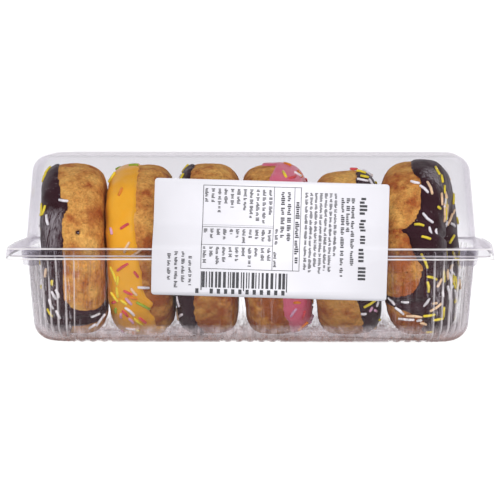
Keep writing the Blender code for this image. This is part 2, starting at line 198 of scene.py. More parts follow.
# Sprinkles that lie on the front, by doughnut: colour, degrees round the ring, degrees across the rim
# towards +X, heading in degrees from +X, and length in millimetres
FRONT_SPRINKLES = {
    1: (("yellow", 84, -46, 30, 5), ("yellow", 78, -56, 10, 5), ("yellow", 37, -62, -80, 8),
        ("yellow", 33, -50, 55, 5), ("white", 36, -15, -14, 5), ("white", 24, -44, -77, 6),
        ("white", -27, -26, -74, 5), ("white", -29, -33, -60, 5), ("white", -37, -39, -69, 6),
        ("white", -45, -28, -71, 6), ("yellow", -47, -43, -53, 5), ("yellow", -20, -36, 88, 3),
        ("white", -50, 36, -2, 5), ("white", -57, 42, 40, 8), ("white", -61, 28, 40, 5),
        ("peach", -14, -48, 75, 5)),
    2: (("green", 78, -13, -10, 5), ("yellow", 70, -50, 20, 6), ("red", 18, -23, 30, 5),
        ("lilac", 16, -46, -69, 4), ("peach", 4, -20, 62, 6), ("peach", 0, -3, 33, 6),
        ("red", -9, -27, 34, 7), ("red", -14, -4, -57, 4), ("yellow", -15, -43, -62, 8),
        ("yellow", -19, -35, 81, 5), ("yellow", -28, -37, -84, 6), ("yellow", -33, -43, -39, 6),
        ("yellow", -35, -27, -36, 4), ("peach", -26, -10, -55, 5), ("white", -23, 8, -4, 6),
        ("red", -27, -19, -25, 5), ("lilac", -34, -19, -53, 5), ("orange", -31, -12, -16, 5),
        ("green", -37, 6, -37, 8), ("white", -42, -17, -50, 7), ("red", -45, -25, -56, 5),
        ("lilac", -48, -33, 86, 4), ("lilac", -52, -16, -65, 5), ("yellow", -53, -6, -58, 7),
        ("red", -51, 3, -58, 6), ("red", -38, -44, 42, 4), ("green", -45, -42, 86, 4),
        ("white", -64, -20, 0, 5), ("yellow", -68, -9, -70, 4), ("orange", 44, -30, 70, 5)),
    3: (("white", -54, -47, 64, 6), ("yellow", 70, -52, 40, 6), ("white", 62, -50, -30, 6),
        ("white", -40, -52, -70, 6)),
    4: (("yellow", 62, 21, -74, 6), ("orange", 84, 26, -40, 5), ("orange", 74, 47, -47, 5),
        ("red", 60, 34, 50, 6), ("lilac", -44, 25, 58, 6), ("orange", -66, 38, 30, 7),
        ("orange", -36, 32, -20, 4), ("red", -52, 42, 70, 6), ("white", 70, 44, 20, 5)),
    5: (("yellow", 82, 30, 0, 5), ("yellow", 70, 35, 26, 5), ("white", 64, 32, 10, 6),
        ("white", 66, 46, -50, 5), ("yellow", -38, 38, 12, 7), ("white", -46, 27, -17, 3),
        ("white", -45, 56, 40, 3), ("lilac", -50, 50, -60, 4), ("lilac", -44, 40, 50, 3),
        ("red", 84, 18, 0, 4)),
    6: (("white", 49, 13, -20, 5), ("white", 44, 29, -42, 6), ("white", 46, 78, 74, 8),
        ("white", 22, 35, -39, 7), ("white", 14, 43, -72, 10), ("white", 15, 57, -84, 7),
        ("white", -37, 57, 84, 8), ("white", -42, 72, 80, 8), ("white", -37, 25, 53, 6),
        ("white", -36, -14, -6, 4), ("white", -36, -38, -40, 5), ("white", -42, -24, -49, 6),
        ("white", -50, -16, -5, 8), ("white", -52, 6, 10, 3), ("peach", 46, 38, -66, 8),
        ("peach", 43, 61, -80, 7), ("peach", 38, 75, -70, 6), ("peach", 33, 88, 86, 5),
        ("peach", -24, 48, 38, 5), ("peach", -28, 84, 90, 5), ("peach", -43, 37, 14, 7),
        ("peach", -39, 37, -20, 3), ("peach", -47, -1, -10, 8), ("peach", -56, 12, -40, 4),
        ("yellow", 72, 45, -54, 6), ("yellow", 69, 58, -60, 5), ("yellow", 62, 70, -80, 6),
        ("yellow", 54, 84, 86, 6), ("yellow", 33, 56, 0, 3), ("yellow", 40, 92, -70, 6),
        ("yellow", 18, 22, -9, 5), ("yellow", 9, 32, -16, 5), ("yellow", -6, 28, -70, 8),
        ("yellow", -18, 37, -30, 6), ("yellow", -24, 30, 89, 6), ("yellow", -22, 62, 80, 6),
        ("yellow", -48, 24, -6, 6), ("yellow", -55, 36, -30, 6), ("yellow", -52, 47, 76, 7),
        ("yellow", -70, 17, -20, 4)),
}
# The colours that each glaze's scattered sprinkles are drawn from
SPRINKLE_MIXES = {
    "chocolate": ("white", "yellow", "peach", "white", "yellow", "peach"),
    "orange": ("red", "yellow", "white", "green", "lilac", "orange"),
    "pink": ("orange", "yellow", "white", "red", "lilac"),
}
SPRINKLE_COLORS = {
    "white": (0.95, 0.92, 0.94),
    "yellow": (0.95, 0.76, 0.05),
    "peach": (0.95, 0.66, 0.40),
    "red": (0.78, 0.10, 0.11),
    "orange": (0.85, 0.27, 0.03),
    "green": (0.36, 0.52, 0.05),
    "lilac": (0.80, 0.44, 0.62),
}
TORUS_RADIUS = 3.0  # of the even ring that each doughnut starts from, whose tube has a radius of 1
FOOD_SHARP = 80  # degrees between faces that meet in a sharp edge, on the food
RING_STEPS = 216
TUBE_STEPS = 88
GLAZE_RING_STEPS = 264
GLAZE_TUBE_STEPS = 112


# Meshes


def even(count):
    """Shares from 0 to 1 in even steps."""
    return [index / count for index in range(count + 1)]


def finish_piece(name, bm, body, looks, replaced=(), sharp=40.0):
    """Turns the working mesh into a smooth-shaded object that rides on a body of the frame."""
    mesh = bpy.data.meshes.new(name)
    bm.to_mesh(mesh)
    bm.free()
    for look in looks:
        mesh.materials.append(look)
    mesh.shade_smooth()
    mesh.set_sharp_from_angle(angle=math.radians(sharp))
    piece = bpy.data.objects.new(name, mesh)
    bpy.context.scene.collection.objects.link(piece)
    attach(piece, body)
    if replaced:
        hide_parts(*replaced)
    return piece


def loft(bm, rings):
    """A skin through rings of points: a circle takes the first ring, and is extruded to each next one."""
    loop = bmesh.ops.create_circle(bm, segments=len(rings[0]), radius=1.0)["verts"]
    loops = []
    for ring in rings:
        if loops:
            edges = [bm.edges.get((vert, loop[index - 1])) for index, vert in enumerate(loop)]
            made = set(bmesh.ops.extrude_edge_only(bm, edges=edges)["geom"])
            loop = [
                next(edge.other_vert(vert) for edge in vert.link_edges if edge.other_vert(vert) in made)
                for vert in loop
            ]
        for vert, point in zip(loop, ring):
            vert.co = point
        loops.append(loop)
    return loops


def close_ring(bm, loop):
    """Fills a flat ring with a fan."""
    edges = [bm.edges.get((vert, loop[index - 1])) for index, vert in enumerate(loop)]
    made = bmesh.ops.contextual_create(bm, geom=edges)
    bmesh.ops.poke(bm, faces=made["faces"])


def face_towards(bm, direction, faces=()):
    """Turns an open skin's faces to the side on which they, or the stated ones, face a direction."""
    bmesh.ops.recalc_face_normals(bm, faces=bm.faces)
    if sum(face.normal.dot(direction) for face in faces or bm.faces) < 0:
        bmesh.ops.reverse_faces(bm, faces=bm.faces)


def largest_face(bm):
    return max(bm.faces, key=lambda face: face.calc_area())


def sweep(bm, profile, start, reach, steps):
    """A sheet: (y, z) points at x = `start`, extruded along X in even steps."""
    verts = [bm.verts.new((start, y, z)) for y, z in profile]
    edges = [bm.edges.new(pair) for pair in zip(verts, verts[1:])]
    for _ in range(steps):
        made = bmesh.ops.extrude_edge_only(bm, edges=edges)["geom"]
        moved = {part for part in made if isinstance(part, bmesh.types.BMVert)}
        lines = [part for part in made if isinstance(part, bmesh.types.BMEdge)]
        edges = [line for line in lines if moved.issuperset(line.verts)]
        bmesh.ops.translate(bm, vec=(reach / steps, 0.0, 0.0), verts=list(moved))


def faces_between(bm, places, loops, bands):
    """(place, next place, face) for each face in some bands round the box."""
    for band in bands:
        lower, upper = loops[band], loops[band + 1]
        for here in range(len(places)):
            after = (here + 1) % len(places)
            face = bm.faces.get((lower[here], lower[after], upper[after], upper[here]))
            yield places[here], places[after], face


def mark_flutes(bm, places, loops, bands):
    """Gives fluted faces their own look, and those on both sides of each notch the look of a crease."""
    for (side, _, depth), (_, _, next_depth), face in faces_between(bm, places, loops, bands):
        deepest = max(depth, next_depth)
        if deepest == 0.0:
            continue
        if side in (FRONT, BACK):
            face.material_index = FLUTED
        else:
            face.material_index = CREASE if deepest == 1.0 else CORNER


def mark_bands(bm, places, loops, bands, index):
    """Gives whole bands of faces round the box their own look."""
    for _, _, face in faces_between(bm, places, loops, bands):
        face.material_index = index


def mark_level(bm, low, high):
    """Gives the level faces between two heights their own look."""
    for face in bm.faces:
        if low <= face.calc_center_median().z <= high and abs(face.normal.z) > 0.97:
            face.material_index = LEVEL


def drop_back_lips(bm, places, loops, bands):
    """Takes a rim's lip off along the hinge."""
    faces = [
        face for place, after, face in faces_between(bm, places, loops, bands)
        if place[0] not in LIPPED_SIDES or after[0] not in LIPPED_SIDES
    ]
    bmesh.ops.delete(bm, geom=faces, context="FACES")


def outline(places, height, half_x, front, back, corner, bow=0.0, flute=0.0, rise=0.0):
    """Points round a rectangle with round corners, anticlockwise from above. Flutes cut in by
    `flute` and up by `rise`."""
    centres = [
        Vector((half_x - corner, corner - front)),
        Vector((half_x - corner, back - corner)),
        Vector((corner - half_x, back - corner)),
        Vector((corner - half_x, corner - front)),
    ]
    points = []
    for side, along, depth in places:
        turn = (side // 2 - 1) * math.pi / 2
        if side % 2:
            turn += along * math.pi / 2
            middle, out = centres[side // 2], corner
        else:
            middle = centres[side // 2 - 1].lerp(centres[side // 2], (along + 1) / 2)
            out = corner + (bow * (1 - along**2) if side in (RIGHT, LEFT) else 0.0)
        out -= flute * depth
        x, y = middle.x + out * math.cos(turn), middle.y + out * math.sin(turn)
        points.append(Vector((x, y, height + rise * depth)))
    return points


def plain_places(long_steps=20, end_steps=12, corner_steps=16):
    """(side, place along it, flute depth) round a plain box: -1 to 1 on a side and 0 to 1 on a corner."""
    places = []
    for side in range(0, 8, 2):
        count = end_steps if side in (RIGHT, LEFT) else long_steps
        places += [(side, -1 + 2 * part, 0.0) for part in even(count)]
        places += [(side + 1, part, 0.0) for part in even(corner_steps)[1:-1]]
    return places


def flutes_between(start, end, count):
    """(along, depth) across `count` flutes: round crests with sharp notches between them."""
    found = []
    for flute in range(count):
        for step in FLUTE_STEPS:
            along = start + (end - start) * (flute + step) / count
            found.append((along, 1.0 - math.sin(math.pi * step) ** 0.7))
    return found + [(end, 1.0)]


def fluted_places():
    """The same round the fluted base."""
    straight = WALL_X - WALL_CORNER
    middle = FRONT_FLUTES * FLUTE_PITCH / 2 / straight
    beside = 1 - SIDE_FLUTES * FLUTE_PITCH / straight
    edge = FLUTE_PITCH / 4 / straight
    left_plain = [(-beside + edge + (beside - middle - 2 * edge) * part, 0.0) for part in even(6)]
    right_plain = [(-along, depth) for along, depth in left_plain[::-1]]
    long_side = flutes_between(-1, -beside, SIDE_FLUTES) + left_plain
    long_side += flutes_between(-middle, middle, FRONT_FLUTES) + right_plain
    long_side += flutes_between(beside, 1, SIDE_FLUTES)
    end_side = flutes_between(-1, 1, END_FLUTES)
    corner = flutes_between(0, 1, CORNER_FLUTES)[1:-1]
    places = []
    for side in range(0, 8, 2):
        along = end_side if side in (RIGHT, LEFT) else long_side
        places += [(side, part, depth) for part, depth in along]
        places += [(side + 1, part, depth) for part, depth in corner]
    return places


def wall_ring(places, inward, height, flute=0.0, rise=0.0):
    half_y = WALL_Y - inward
    corner = WALL_CORNER - inward
    return outline(places, height, WALL_X - inward, half_y, half_y, corner, 0.0, flute, rise)


def rim_ring(places, height, half_x, front, inward=0.0):
    return outline(places, height, half_x, front, HINGE_BACK, RIM_CORNER - inward, END_BOW)


def bend_rings(places, top_z, half_x, front, bend, steps):
    """Rings over the round edge of a rim, from its lip in to its flat top."""
    rings = []
    for part in even(steps):
        turn = part * math.pi / 2
        inward = bend * (1 - math.cos(turn))
        height = top_z - bend * (1 - math.sin(turn))
        rings.append(rim_ring(places, height, half_x - inward, front - inward, inward))
    return rings


def foot_rings(places, top_z, up, steps):
    """Rings round the fillet between a rim and the walls, from the rim to the wall."""
    rings = []
    for part in even(steps):
        turn = part * math.pi / 2
        inward = -WALL_FOOT * (1 - math.sin(turn))
        rings.append(wall_ring(places, inward, top_z + up * WALL_FOOT * (1 - math.cos(turn))))
    return rings


def lid_rings(places):
    """(rings from the lip's lower edge up to the lid's level top, bands of the lip)"""
    narrow_x, narrow_y = LIP_X - LIP_FLARE, LIP_Y - LIP_FLARE
    narrower = LIP_EDGE / (RIM_Z - LIP_BEND - LIP_LOW_Z) * LIP_FLARE
    rings = [rim_ring(places, LIP_LOW_Z, LIP_X, LIP_Y)]
    rings.append(rim_ring(places, LIP_LOW_Z + LIP_EDGE, LIP_X - narrower, LIP_Y - narrower))
    rings += bend_rings(places, RIM_Z, narrow_x, narrow_y, LIP_BEND, 4)
    lips = range(5)
    rings += foot_rings(places, RIM_Z, 1, 4)
    round_z = HEIGHT - LID_ROUND
    lean = DRAFT * (round_z - RIM_Z - WALL_FOOT)
    for part in (0.25, 0.5, 0.75):
        height = RIM_Z + WALL_FOOT + part * (round_z - RIM_Z - WALL_FOOT)
        rings.append(wall_ring(places, lean * part, height))
    for part in even(12):
        turn = part * math.pi / 2
        inward = lean + LID_ROUND * (1 - math.cos(turn))
        rings.append(wall_ring(places, inward, round_z + LID_ROUND * math.sin(turn)))
    return rings, lips


def base_rings(places, depth):
    """(rings from the level foot up to the rim and down its lip, bands of the lip)"""
    lean = DRAFT * (BASE_TOP_Z - BASE_ROUND)
    rings = [
        wall_ring(places, lean + BASE_ROUND + inward, 0.0, rise=depth * share)
        for inward, share in ((6 * MM, 0.0), (4 * MM, 0.45), (2 * MM, 0.8))
    ]
    for part in even(10):
        turn = part * math.pi / 2
        inward = lean + BASE_ROUND * (1 - math.sin(turn))
        height = BASE_ROUND * (1 - math.cos(turn))
        rings.append(wall_ring(places, inward, height, depth * math.sin(turn), depth * math.cos(turn)))
    flutes_z = RIM_Z - FLUTES_START
    for part, share in ((0.25, 1.0), (0.5, 1.0), (0.75, 1.0), (0.96, 1.0), (1.0, 0.7)):
        height = BASE_ROUND + (flutes_z - BASE_ROUND) * part
        rings.append(wall_ring(places, DRAFT * (BASE_TOP_Z - height), height, depth * share))
    height = flutes_z + 1.6 * MM
    rings.append(wall_ring(places, DRAFT * (BASE_TOP_Z - height), height))
    rings += foot_rings(places, BASE_TOP_Z, -1, 3)[::-1]
    inner_x = LIP_X - LIP_FLARE - FILM - 2 * GAP - FILM
    inner_y = LIP_Y - LIP_FLARE - FILM - GAP - FILM
    first_lip = len(rings)
    rings += bend_rings(places, BASE_TOP_Z, inner_x, inner_y, BASE_LIP_BEND, 3)[::-1]
    lip_z = BASE_TOP_Z + FILM - BASE_LIP_BEND - BASE_LIP_DROP
    rings.append(rim_ring(places, lip_z + LIP_EDGE, inner_x, inner_y))
    rings.append(rim_ring(places, lip_z, inner_x, inner_y))
    return rings, range(first_lip, len(rings) - 1)


def add_cup(bm, side, radius, top, depth):
    """A thin hollow cup hanging from the rim, spun round its own axis."""
    low, narrow, turn_in = top - depth, radius * BUTTON_TAPER, 0.8 * MM
    middle = Vector((side * BUTTON_X, BUTTON_Y, 0.0))
    profile = [
        (0.0, low), (narrow - turn_in, low), (narrow - turn_in * 0.3, low + turn_in * 0.3),
        (narrow, low + turn_in), (radius, top), (radius - FILM, top),
        (narrow - FILM, low + turn_in), (narrow - turn_in, low + FILM), (0.0, low + FILM),
    ]
    verts = [bm.verts.new(middle + Vector((out, 0.0, height))) for out, height in profile]
    edges = [bm.edges.new(pair) for pair in zip(verts, verts[1:])]
    before = set(bm.verts) - set(verts)
    bmesh.ops.spin(
        bm, geom=verts + edges, cent=middle, axis=(0, 0, 1), angle=math.tau, steps=32, use_merge=True
    )
    made = [vert for vert in bm.verts if vert not in before]
    bmesh.ops.remove_doubles(bm, verts=made, dist=1e-6)


def add_film(piece, thickness):
    """Gives the outer skin its thickness on the inside, with the cut edges in their own look."""
    solid = piece.modifiers.new("film", "SOLIDIFY")
    solid.thickness = thickness
    solid.offset = -1.0
    solid.use_even_offset = True
    solid.material_offset_rim = CUT_EDGE


def make_cups(name, body, radius, top, depth, look):
    bm = bmesh.new()
    for side in (-1, 1):
        add_cup(bm, side, radius, top, depth)
    bmesh.ops.recalc_face_normals(bm, faces=bm.faces)
    finish_piece(name, bm, body, [look])


# Doughnuts


class Ring:
    """One doughnut's shape: points on its skin by the angle round the ring and the angle across it."""

    def __init__(self, number):
        x, y, diameter, thickness, hole, turn, lean, seed = DOUGHNUTS[number - 1]
        chance = random.Random(seed)
        self.waves = [(n, chance.uniform(-1, 1) / n, chance.uniform(0, math.tau)) for n in (2, 3, 5)]
        self.number = number
        self.middle = (diameter + hole) / 4
        self.tube = (diameter - hole) / 4
        self.half = thickness / 2
        turned = Matrix.Rotation(math.radians(turn), 3, "Z")
        self.turned = turned @ Matrix.Rotation(math.radians(lean), 3, "Y")
        self.place = Vector((x, y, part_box(f"doughnut_{number}")[0].z))
        self.creases = [crease[1:] for crease in CREASES if crease[0] == number]
        lowest = min(self.plain(math.radians(degrees), 0.0)[0].z for degrees in range(-180, 0, 3))
        self.place.z -= lowest - self.place.z

    def plain(self, ring, across):
        """(point, outward direction) on the even skin, before any lumps."""
        local = math.atan2(-math.cos(ring), -math.sin(ring))
        wave = sum(size * math.cos(count * local + start) for count, size, start in self.waves)
        cos, sin = math.cos(across), math.sin(across)
        reach = (abs(cos) ** SQUARENESS + abs(sin) ** SQUARENESS) ** (-1 / SQUARENESS)
        out, side = reach * cos, reach * sin
        radius = self.middle + self.tube * out + UNEVEN * wave * (1 + out) / 2
        away = Vector((0.0, -math.cos(ring), math.sin(ring)))
        point = away * radius
        point.x = self.half * side * (1 + 0.03 * wave)
        normal = away * math.copysign(abs(out) ** (SQUARENESS - 1), out) / self.tube
        normal.x = math.copysign(abs(side) ** (SQUARENESS - 1), side) / self.half
        return self.turned @ point + self.place, self.turned @ normal.normalized()

    def skin(self, ring, across, lift=0.0):
        """(point, outward direction) on the lumpy cake, `lift` above it."""
        point, normal = self.plain(ring, across)
        shift = Vector((self.number * 7.3, 0.0, 0.0))
        bulge = 0.6 * noise.noise(point / (16 * MM) + shift)
        bulge += 0.4 * noise.noise(point / (6 * MM) + shift)
        height = bulge * MM - 0.25 * MM
        for at, width, depth in self.creases:
            away = (math.degrees(ring) - at) / width
            if abs(away) < 1:
                height -= depth * math.cos(away * math.pi / 2) ** 2
        return point + normal * (height + lift), normal


def skin_point(number, round_it, across):
    """The point of a doughnut's skin at two angles in degrees."""
    return Ring(number).skin(math.radians(round_it), math.radians(across))[0]


def make_torus(bm, ring_steps, tube_steps):
    """An even ring that the doughnuts start from: a circle spun round the X axis."""
    turn = Matrix.Translation((0.0, 0.0, TORUS_RADIUS)) @ Matrix.Rotation(math.pi / 2, 4, "X")
    made = bmesh.ops.create_circle(bm, segments=tube_steps, radius=1.0, matrix=turn)
    edges = list({edge for vert in made["verts"] for edge in vert.link_edges})
    whole = {"angle": math.tau, "steps": ring_steps, "use_merge": True}
    bmesh.ops.spin(bm, geom=made["verts"] + edges, cent=(0, 0, 0), axis=(1, 0, 0), **whole)


def torus_angles(point):
    """(angle round the ring, angle across it) of a point on the even ring."""
    away = math.hypot(point.y, point.z)
    return math.atan2(point.z, -point.y), math.atan2(point.x, away - TORUS_RADIUS)


def fine_crust(point, shift):
    """Small pores and roughness of the fried crust."""
    rough = 0.16 * noise.noise(point / (1.9 * MM) + shift)
    rough += 0.07 * noise.noise(point / (0.8 * MM) + shift)
    pore = noise.noise(point / (2.6 * MM) - shift)
    if pore > 0.42:
        rough -= 1.7 * (pore - 0.42)
    return rough * MM


def make_cake(number, look):
    ring = Ring(number)
    bm = bmesh.new()
    make_torus(bm, RING_STEPS, TUBE_STEPS)
    shift = Vector((0.0, number * 3.1, 0.0))
    pit = skin_point(*PIT[:3]) if number == PIT[0] else None
    for vert in bm.verts:
        round_it, across = torus_angles(vert.co)
        point, normal = ring.skin(round_it, across)
        hole = 1 - (point - pit).length / PIT[3] if pit else 0.0
        vert.co = point + normal * (fine_crust(point, shift) - PIT[4] * max(hole, 0.0) ** 0.5)
        vert.co.z = max(vert.co.z, CAKE_FLOOR_Z)
    bmesh.ops.recalc_face_normals(bm, faces=bm.faces)
    name = f"doughnut_{number}"
    finish_piece(f"{name}_cake", bm, "tray", [look], replaced=[name], sharp=FOOD_SHARP)


def glaze_edge(points, degrees):
    """How far across the rim the glaze comes at one angle round the ring, in degrees."""
    once = sorted(points)
    ordered = [(at - 360, edge) for at, edge in once[-2:]] + once
    ordered += [(at + 360, edge) for at, edge in once[:2]]
    for (before, first), (start, low), (end, high), (after, last) in zip(
        ordered, ordered[1:], ordered[2:], ordered[3:]
    ):
        if not start <= degrees <= end:
            continue
        span = end - start
        part = (degrees - start) / span
        leaving = (high - first) / (end - before) * span
        arriving = (last - low) / (after - start) * span
        bend = part * part * (3 - 2 * part)
        return (
            low + (high - low) * bend + leaving * part * (1 - part) ** 2 - arriving * part * part * (1 - part)
        )
    return once[-1][1]


def glaze_lift(inside, thickness):
    """Height above the cake of glaze that is `inside` of its own edge: a rounded edge, then level."""
    if inside <= -GLAZE_STEP:
        return -GLAZE_SINK
    if inside <= 0:
        return GLAZE_SINK * inside / GLAZE_STEP
    if inside < GLAZE_ROUNDING:
        return thickness * math.sqrt(1 - (1 - inside / GLAZE_ROUNDING) ** 2)
    return thickness


def make_glaze(number, thickness, look):
    """A skin that stands above the cake where there is glaze, and is hidden inside it elsewhere."""
    kind, side, edge_points = GLAZES[number - 1]
    ring = Ring(number)
    bm = bmesh.new()
    make_torus(bm, GLAZE_RING_STEPS, GLAZE_TUBE_STEPS)
    shift = Vector((number * 2.7, 5.0, 0.0))
    tube_arc, ring_arc = 16 * MM, 40 * MM
    for vert in bm.verts:
        round_it, across = torus_angles(vert.co)
        degrees, towards = math.degrees(round_it), math.degrees(across) * side
        edge = glaze_edge(edge_points, degrees)
        slope = (glaze_edge(edge_points, degrees + 1) - glaze_edge(edge_points, degrees - 1)) / 2
        slope *= tube_arc / ring_arc
        around = Vector((math.cos(round_it) * 2, math.sin(round_it) * 2, number))
        inner = GLAZE_INNER + GLAZE_WAVER * noise.noise(around)
        inside = min((towards - edge) / math.sqrt(1 + slope * slope), inner - towards)
        if towards < BARE_SIDE:
            inside = -90
        inside = math.radians(inside) * tube_arc
        point, normal = ring.skin(round_it, across)
        if abs(inside) < 6 * MM:
            inside += 0.55 * MM * noise.noise(point / (3.4 * MM) + shift)
            inside += 0.22 * MM * noise.noise(point / (1.3 * MM) + shift)
        lift = glaze_lift(inside, thickness)
        if lift > 0:
            lift += 0.12 * MM * noise.noise(point / (5 * MM) + shift)
        vert.co = point + normal * lift
        if lift > 0:
            vert.co.z = max(vert.co.z, FLOOR_Z)
    bmesh.ops.recalc_face_normals(bm, faces=bm.faces)
    finish_piece(f"doughnut_{number}_glaze", bm, "tray", [look], sharp=FOOD_SHARP)


def add_sprinkle(bm, middle, along, up, length, radius, bend):
    """A short rod with round ends and a slight bend."""
    made = bmesh.ops.create_uvsphere(bm, u_segments=7, v_segments=6, radius=radius)["verts"]
    stretch = max(length / 2 - radius, 0.0)
    across = up.cross(along).normalized()
    turn = Matrix((across, up, along)).transposed()
    for vert in made:
        part = vert.co.z / radius
        if abs(part) > 0.1:
            vert.co.z += math.copysign(stretch, part)
            vert.co.x += bend * length
        vert.co = turn @ vert.co + middle
        vert.co.z = max(vert.co.z, FLOOR_Z)


def place_sprinkle(bm, ring, thickness, radius, chance, placing):
    round_it, across, heading, length = placing
    lift = thickness + radius * 0.25
    middle, up = ring.skin(round_it, across, lift)
    step = 0.01
    by_ring = ring.skin(round_it + step, across)[0] - ring.skin(round_it - step, across)[0]
    by_across = ring.skin(round_it, across + step)[0] - ring.skin(round_it, across - step)[0]
    along = by_across.normalized() * math.cos(heading) + by_ring.normalized() * math.sin(heading)
    along = (along - up * along.dot(up)).normalized()
    add_sprinkle(bm, middle, along, up, length, radius, chance.uniform(-0.07, 0.07))


# Looks


def rgb(tone):
    """A colour's three channels. A plain number is a grey."""
    return tone if isinstance(tone, tuple) else (tone, tone, tone)


def scaled(tone, factor, more=0.0):
    """A colour with each channel multiplied, added to and kept at 1 or less."""
    return tuple(min(channel * factor + more, 1.0) for channel in tone)


class Look:
    """A material being made. Most methods add a node and give its output."""

    def __init__(self, name):
        self.material = bpy.data.materials.new(name)
        self.material.use_nodes = True
        self.nodes, self.links = self.material.node_tree.nodes, self.material.node_tree.links
        self.nodes.clear()

    @cached_property
    def point(self):
        return self.nodes.new("ShaderNodeTexCoord").outputs["Object"]

    def node(self, kind, inputs, **settings):
        """Adds a node, with its inputs by name or number. Each is a value or another node's output."""
        made = self.nodes.new(kind)
        for name, value in settings.items():
            setattr(made, name, value)
        for place, value in inputs.items():
            socket = made.inputs[place]
            if isinstance(value, bpy.types.NodeSocket):
                self.links.new(value, socket)
            else:
                socket.default_value = (*rgb(value), 1.0) if socket.type == "RGBA" else value
        return made

    def shader(self, kind, **inputs):
        """A shader, with spaces in its inputs' names written as underscores."""
        inputs = {name.replace("_", " "): value for name, value in inputs.items()}
        return self.node(f"ShaderNodeBsdf{kind}", inputs).outputs[0]

    def finish(self, surface):
        self.node("ShaderNodeOutputMaterial", {"Surface": surface})
        return self.material

    def noise(self, size, detail=3.0, roughness=0.55, point=None):
        """Noise whose blobs are about `size` metres across."""
        inputs = {"Vector": point or self.point, "Scale": 1 / size, "Detail": detail, "Roughness": roughness}
        return self.node("ShaderNodeTexNoise", inputs).outputs["Fac"]

    def cells(self, size):
        """Cells about `size` metres across."""
        return self.node("ShaderNodeTexVoronoi", {"Vector": self.point, "Scale": 1 / size}).outputs

    def ramp(self, factor, *stops):
        """A run of tones at stated positions."""
        made = self.node("ShaderNodeValToRGB", {"Fac": factor})
        elements = made.color_ramp.elements
        while len(elements) < len(stops):
            elements.new(0.5)
        for element, (position, tone) in zip(elements, stops):
            element.position = position
            element.color = (*rgb(tone), 1.0)
        return made.outputs["Color"]

    def math(self, operation, *values):
        return self.node("ShaderNodeMath", dict(enumerate(values)), operation=operation).outputs["Value"]

    def mix_color(self, factor, first, second, blend="MIX"):
        inputs = {0: factor, 6: first, 7: second}
        return self.node("ShaderNodeMix", inputs, data_type="RGBA", blend_type=blend).outputs[2]

    def mix_shaders(self, factor, first, second):
        return self.node("ShaderNodeMixShader", {0: factor, 1: first, 2: second}).outputs[0]

    def bump(self, height, distance, strength, **under):
        inputs = {"Distance": distance, "Strength": strength, "Height": height, **under}
        return self.node("ShaderNodeBump", inputs).outputs["Normal"]

    def streaks(self, wide, high, low, most):
        """Fine upright streaks, from 0 to 1 between two levels of a stretched noise."""
        inputs = {"Vector": self.point, "Scale": (1 / wide, 1 / wide, 1 / high)}
        stretched = self.node("ShaderNodeMapping", inputs).outputs["Vector"]
        return self.ramp(self.noise(1.0, 2.0, point=stretched), (low, 0.0), (most, 1.0))

    def lowness(self, low, high):
        """1 at the lower height and 0 at the upper one."""
        height = self.node("ShaderNodeSeparateXYZ", {0: self.point}).outputs["Z"]
        inputs = {"Value": height, "From Min": low, "From Max": high, "To Min": 1.0, "To Max": 0.0}
        return self.node("ShaderNodeMapRange", inputs).outputs["Result"]

    def spot(self, place, radius, rough):
        """1 inside a rough-edged ball round a place, and 0 outside it."""
        away = self.node("ShaderNodeVectorMath", {0: self.point, 1: place}, operation="DISTANCE")
        edge = self.noise(radius * 0.4, 4.0, 0.65)
        share = self.math("MULTIPLY_ADD", edge, rough, -rough / 2)
        share = self.math("MULTIPLY_ADD", away.outputs["Value"], 1 / radius, share)
        return self.ramp(share, (0.45, 1.0), (1.0, 0.0))


def film_look(name, tint, edge_tint, roughness, sheen, streaks=0.0):
    """Clear formed film: see-through, with a sheen that grows towards its edges. Near the foot of the
    box a painted reflection: warm brown diffuse clouds stand in for the doughnuts mirrored in the floor
    film. Fluted film has fine upright streaks: dark ones of painted shade and pale ones of painted highlight."""
    look = Look(name)
    facing = look.node("ShaderNodeLayerWeight", {"Blend": 0.5}).outputs["Facing"]
    through = look.mix_color(look.math("POWER", facing, 4.0), tint, edge_tint)
    if streaks:
        # Dark streaks: painted shade, standing in for the dark lines along the flutes.
        dark = look.math("MULTIPLY", look.streaks(0.9 * MM, 60 * MM, 0.58, 0.64), 0.24)
        through = look.mix_color(dark, through, (0.35, 0.32, 0.33))
    clear = look.shader("Transparent", Color=through)
    waves = look.bump(look.noise(12 * MM, 1.0), 0.25 * MM, 0.5)
    gloss = look.shader("Anisotropic", Color=(0.98, 0.95, 0.98), Roughness=roughness, Normal=waves)
    shine = look.math("POWER", facing, 3.5)
    shine = look.math("MULTIPLY_ADD", shine, sheen - STRAIGHT_SHEEN, STRAIGHT_SHEEN)
    film = look.mix_shaders(shine, clear, gloss)

    # Painted reflection near the foot: warm brown clouds stand in for the doughnuts mirrored in the floor
    # film.
    painted_reflection_tone = look.ramp(look.noise(14 * MM, 2.0), (0.42, (0.60, 0.45, 0.43)), (0.60, (0.40, 0.21, 0.16)))
    tone = look.mix_color(look.lowness(2 * MM, 9 * MM), (0.90, 0.83, 0.88), painted_reflection_tone)
    reflection_patches = look.ramp(look.noise(4 * MM, 4.0, 0.65), (0.36, 0.25), (0.62, 1.0))
    upright = look.math("MULTIPLY_ADD", look.streaks(1.4 * MM, 12 * MM, 0.38, 0.62), 0.7, 0.3)
    reflection_patches = look.math("MULTIPLY", reflection_patches, upright)
    painted_light_share = look.math("MULTIPLY", reflection_patches, look.lowness(0.0, 9 * MM))
    painted_light_share = look.math("MULTIPLY", painted_light_share, 0.88)
    if streaks:
        # Pale streaks: painted highlights along the flutes.
        pale = look.streaks(0.8 * MM, 50 * MM, 0.60, 0.66)
        painted_light_share = look.math("MULTIPLY_ADD", pale, streaks, painted_light_share)
    return look.finish(look.mix_shaders(painted_light_share, film, look.shader("Diffuse", Color=tone)))


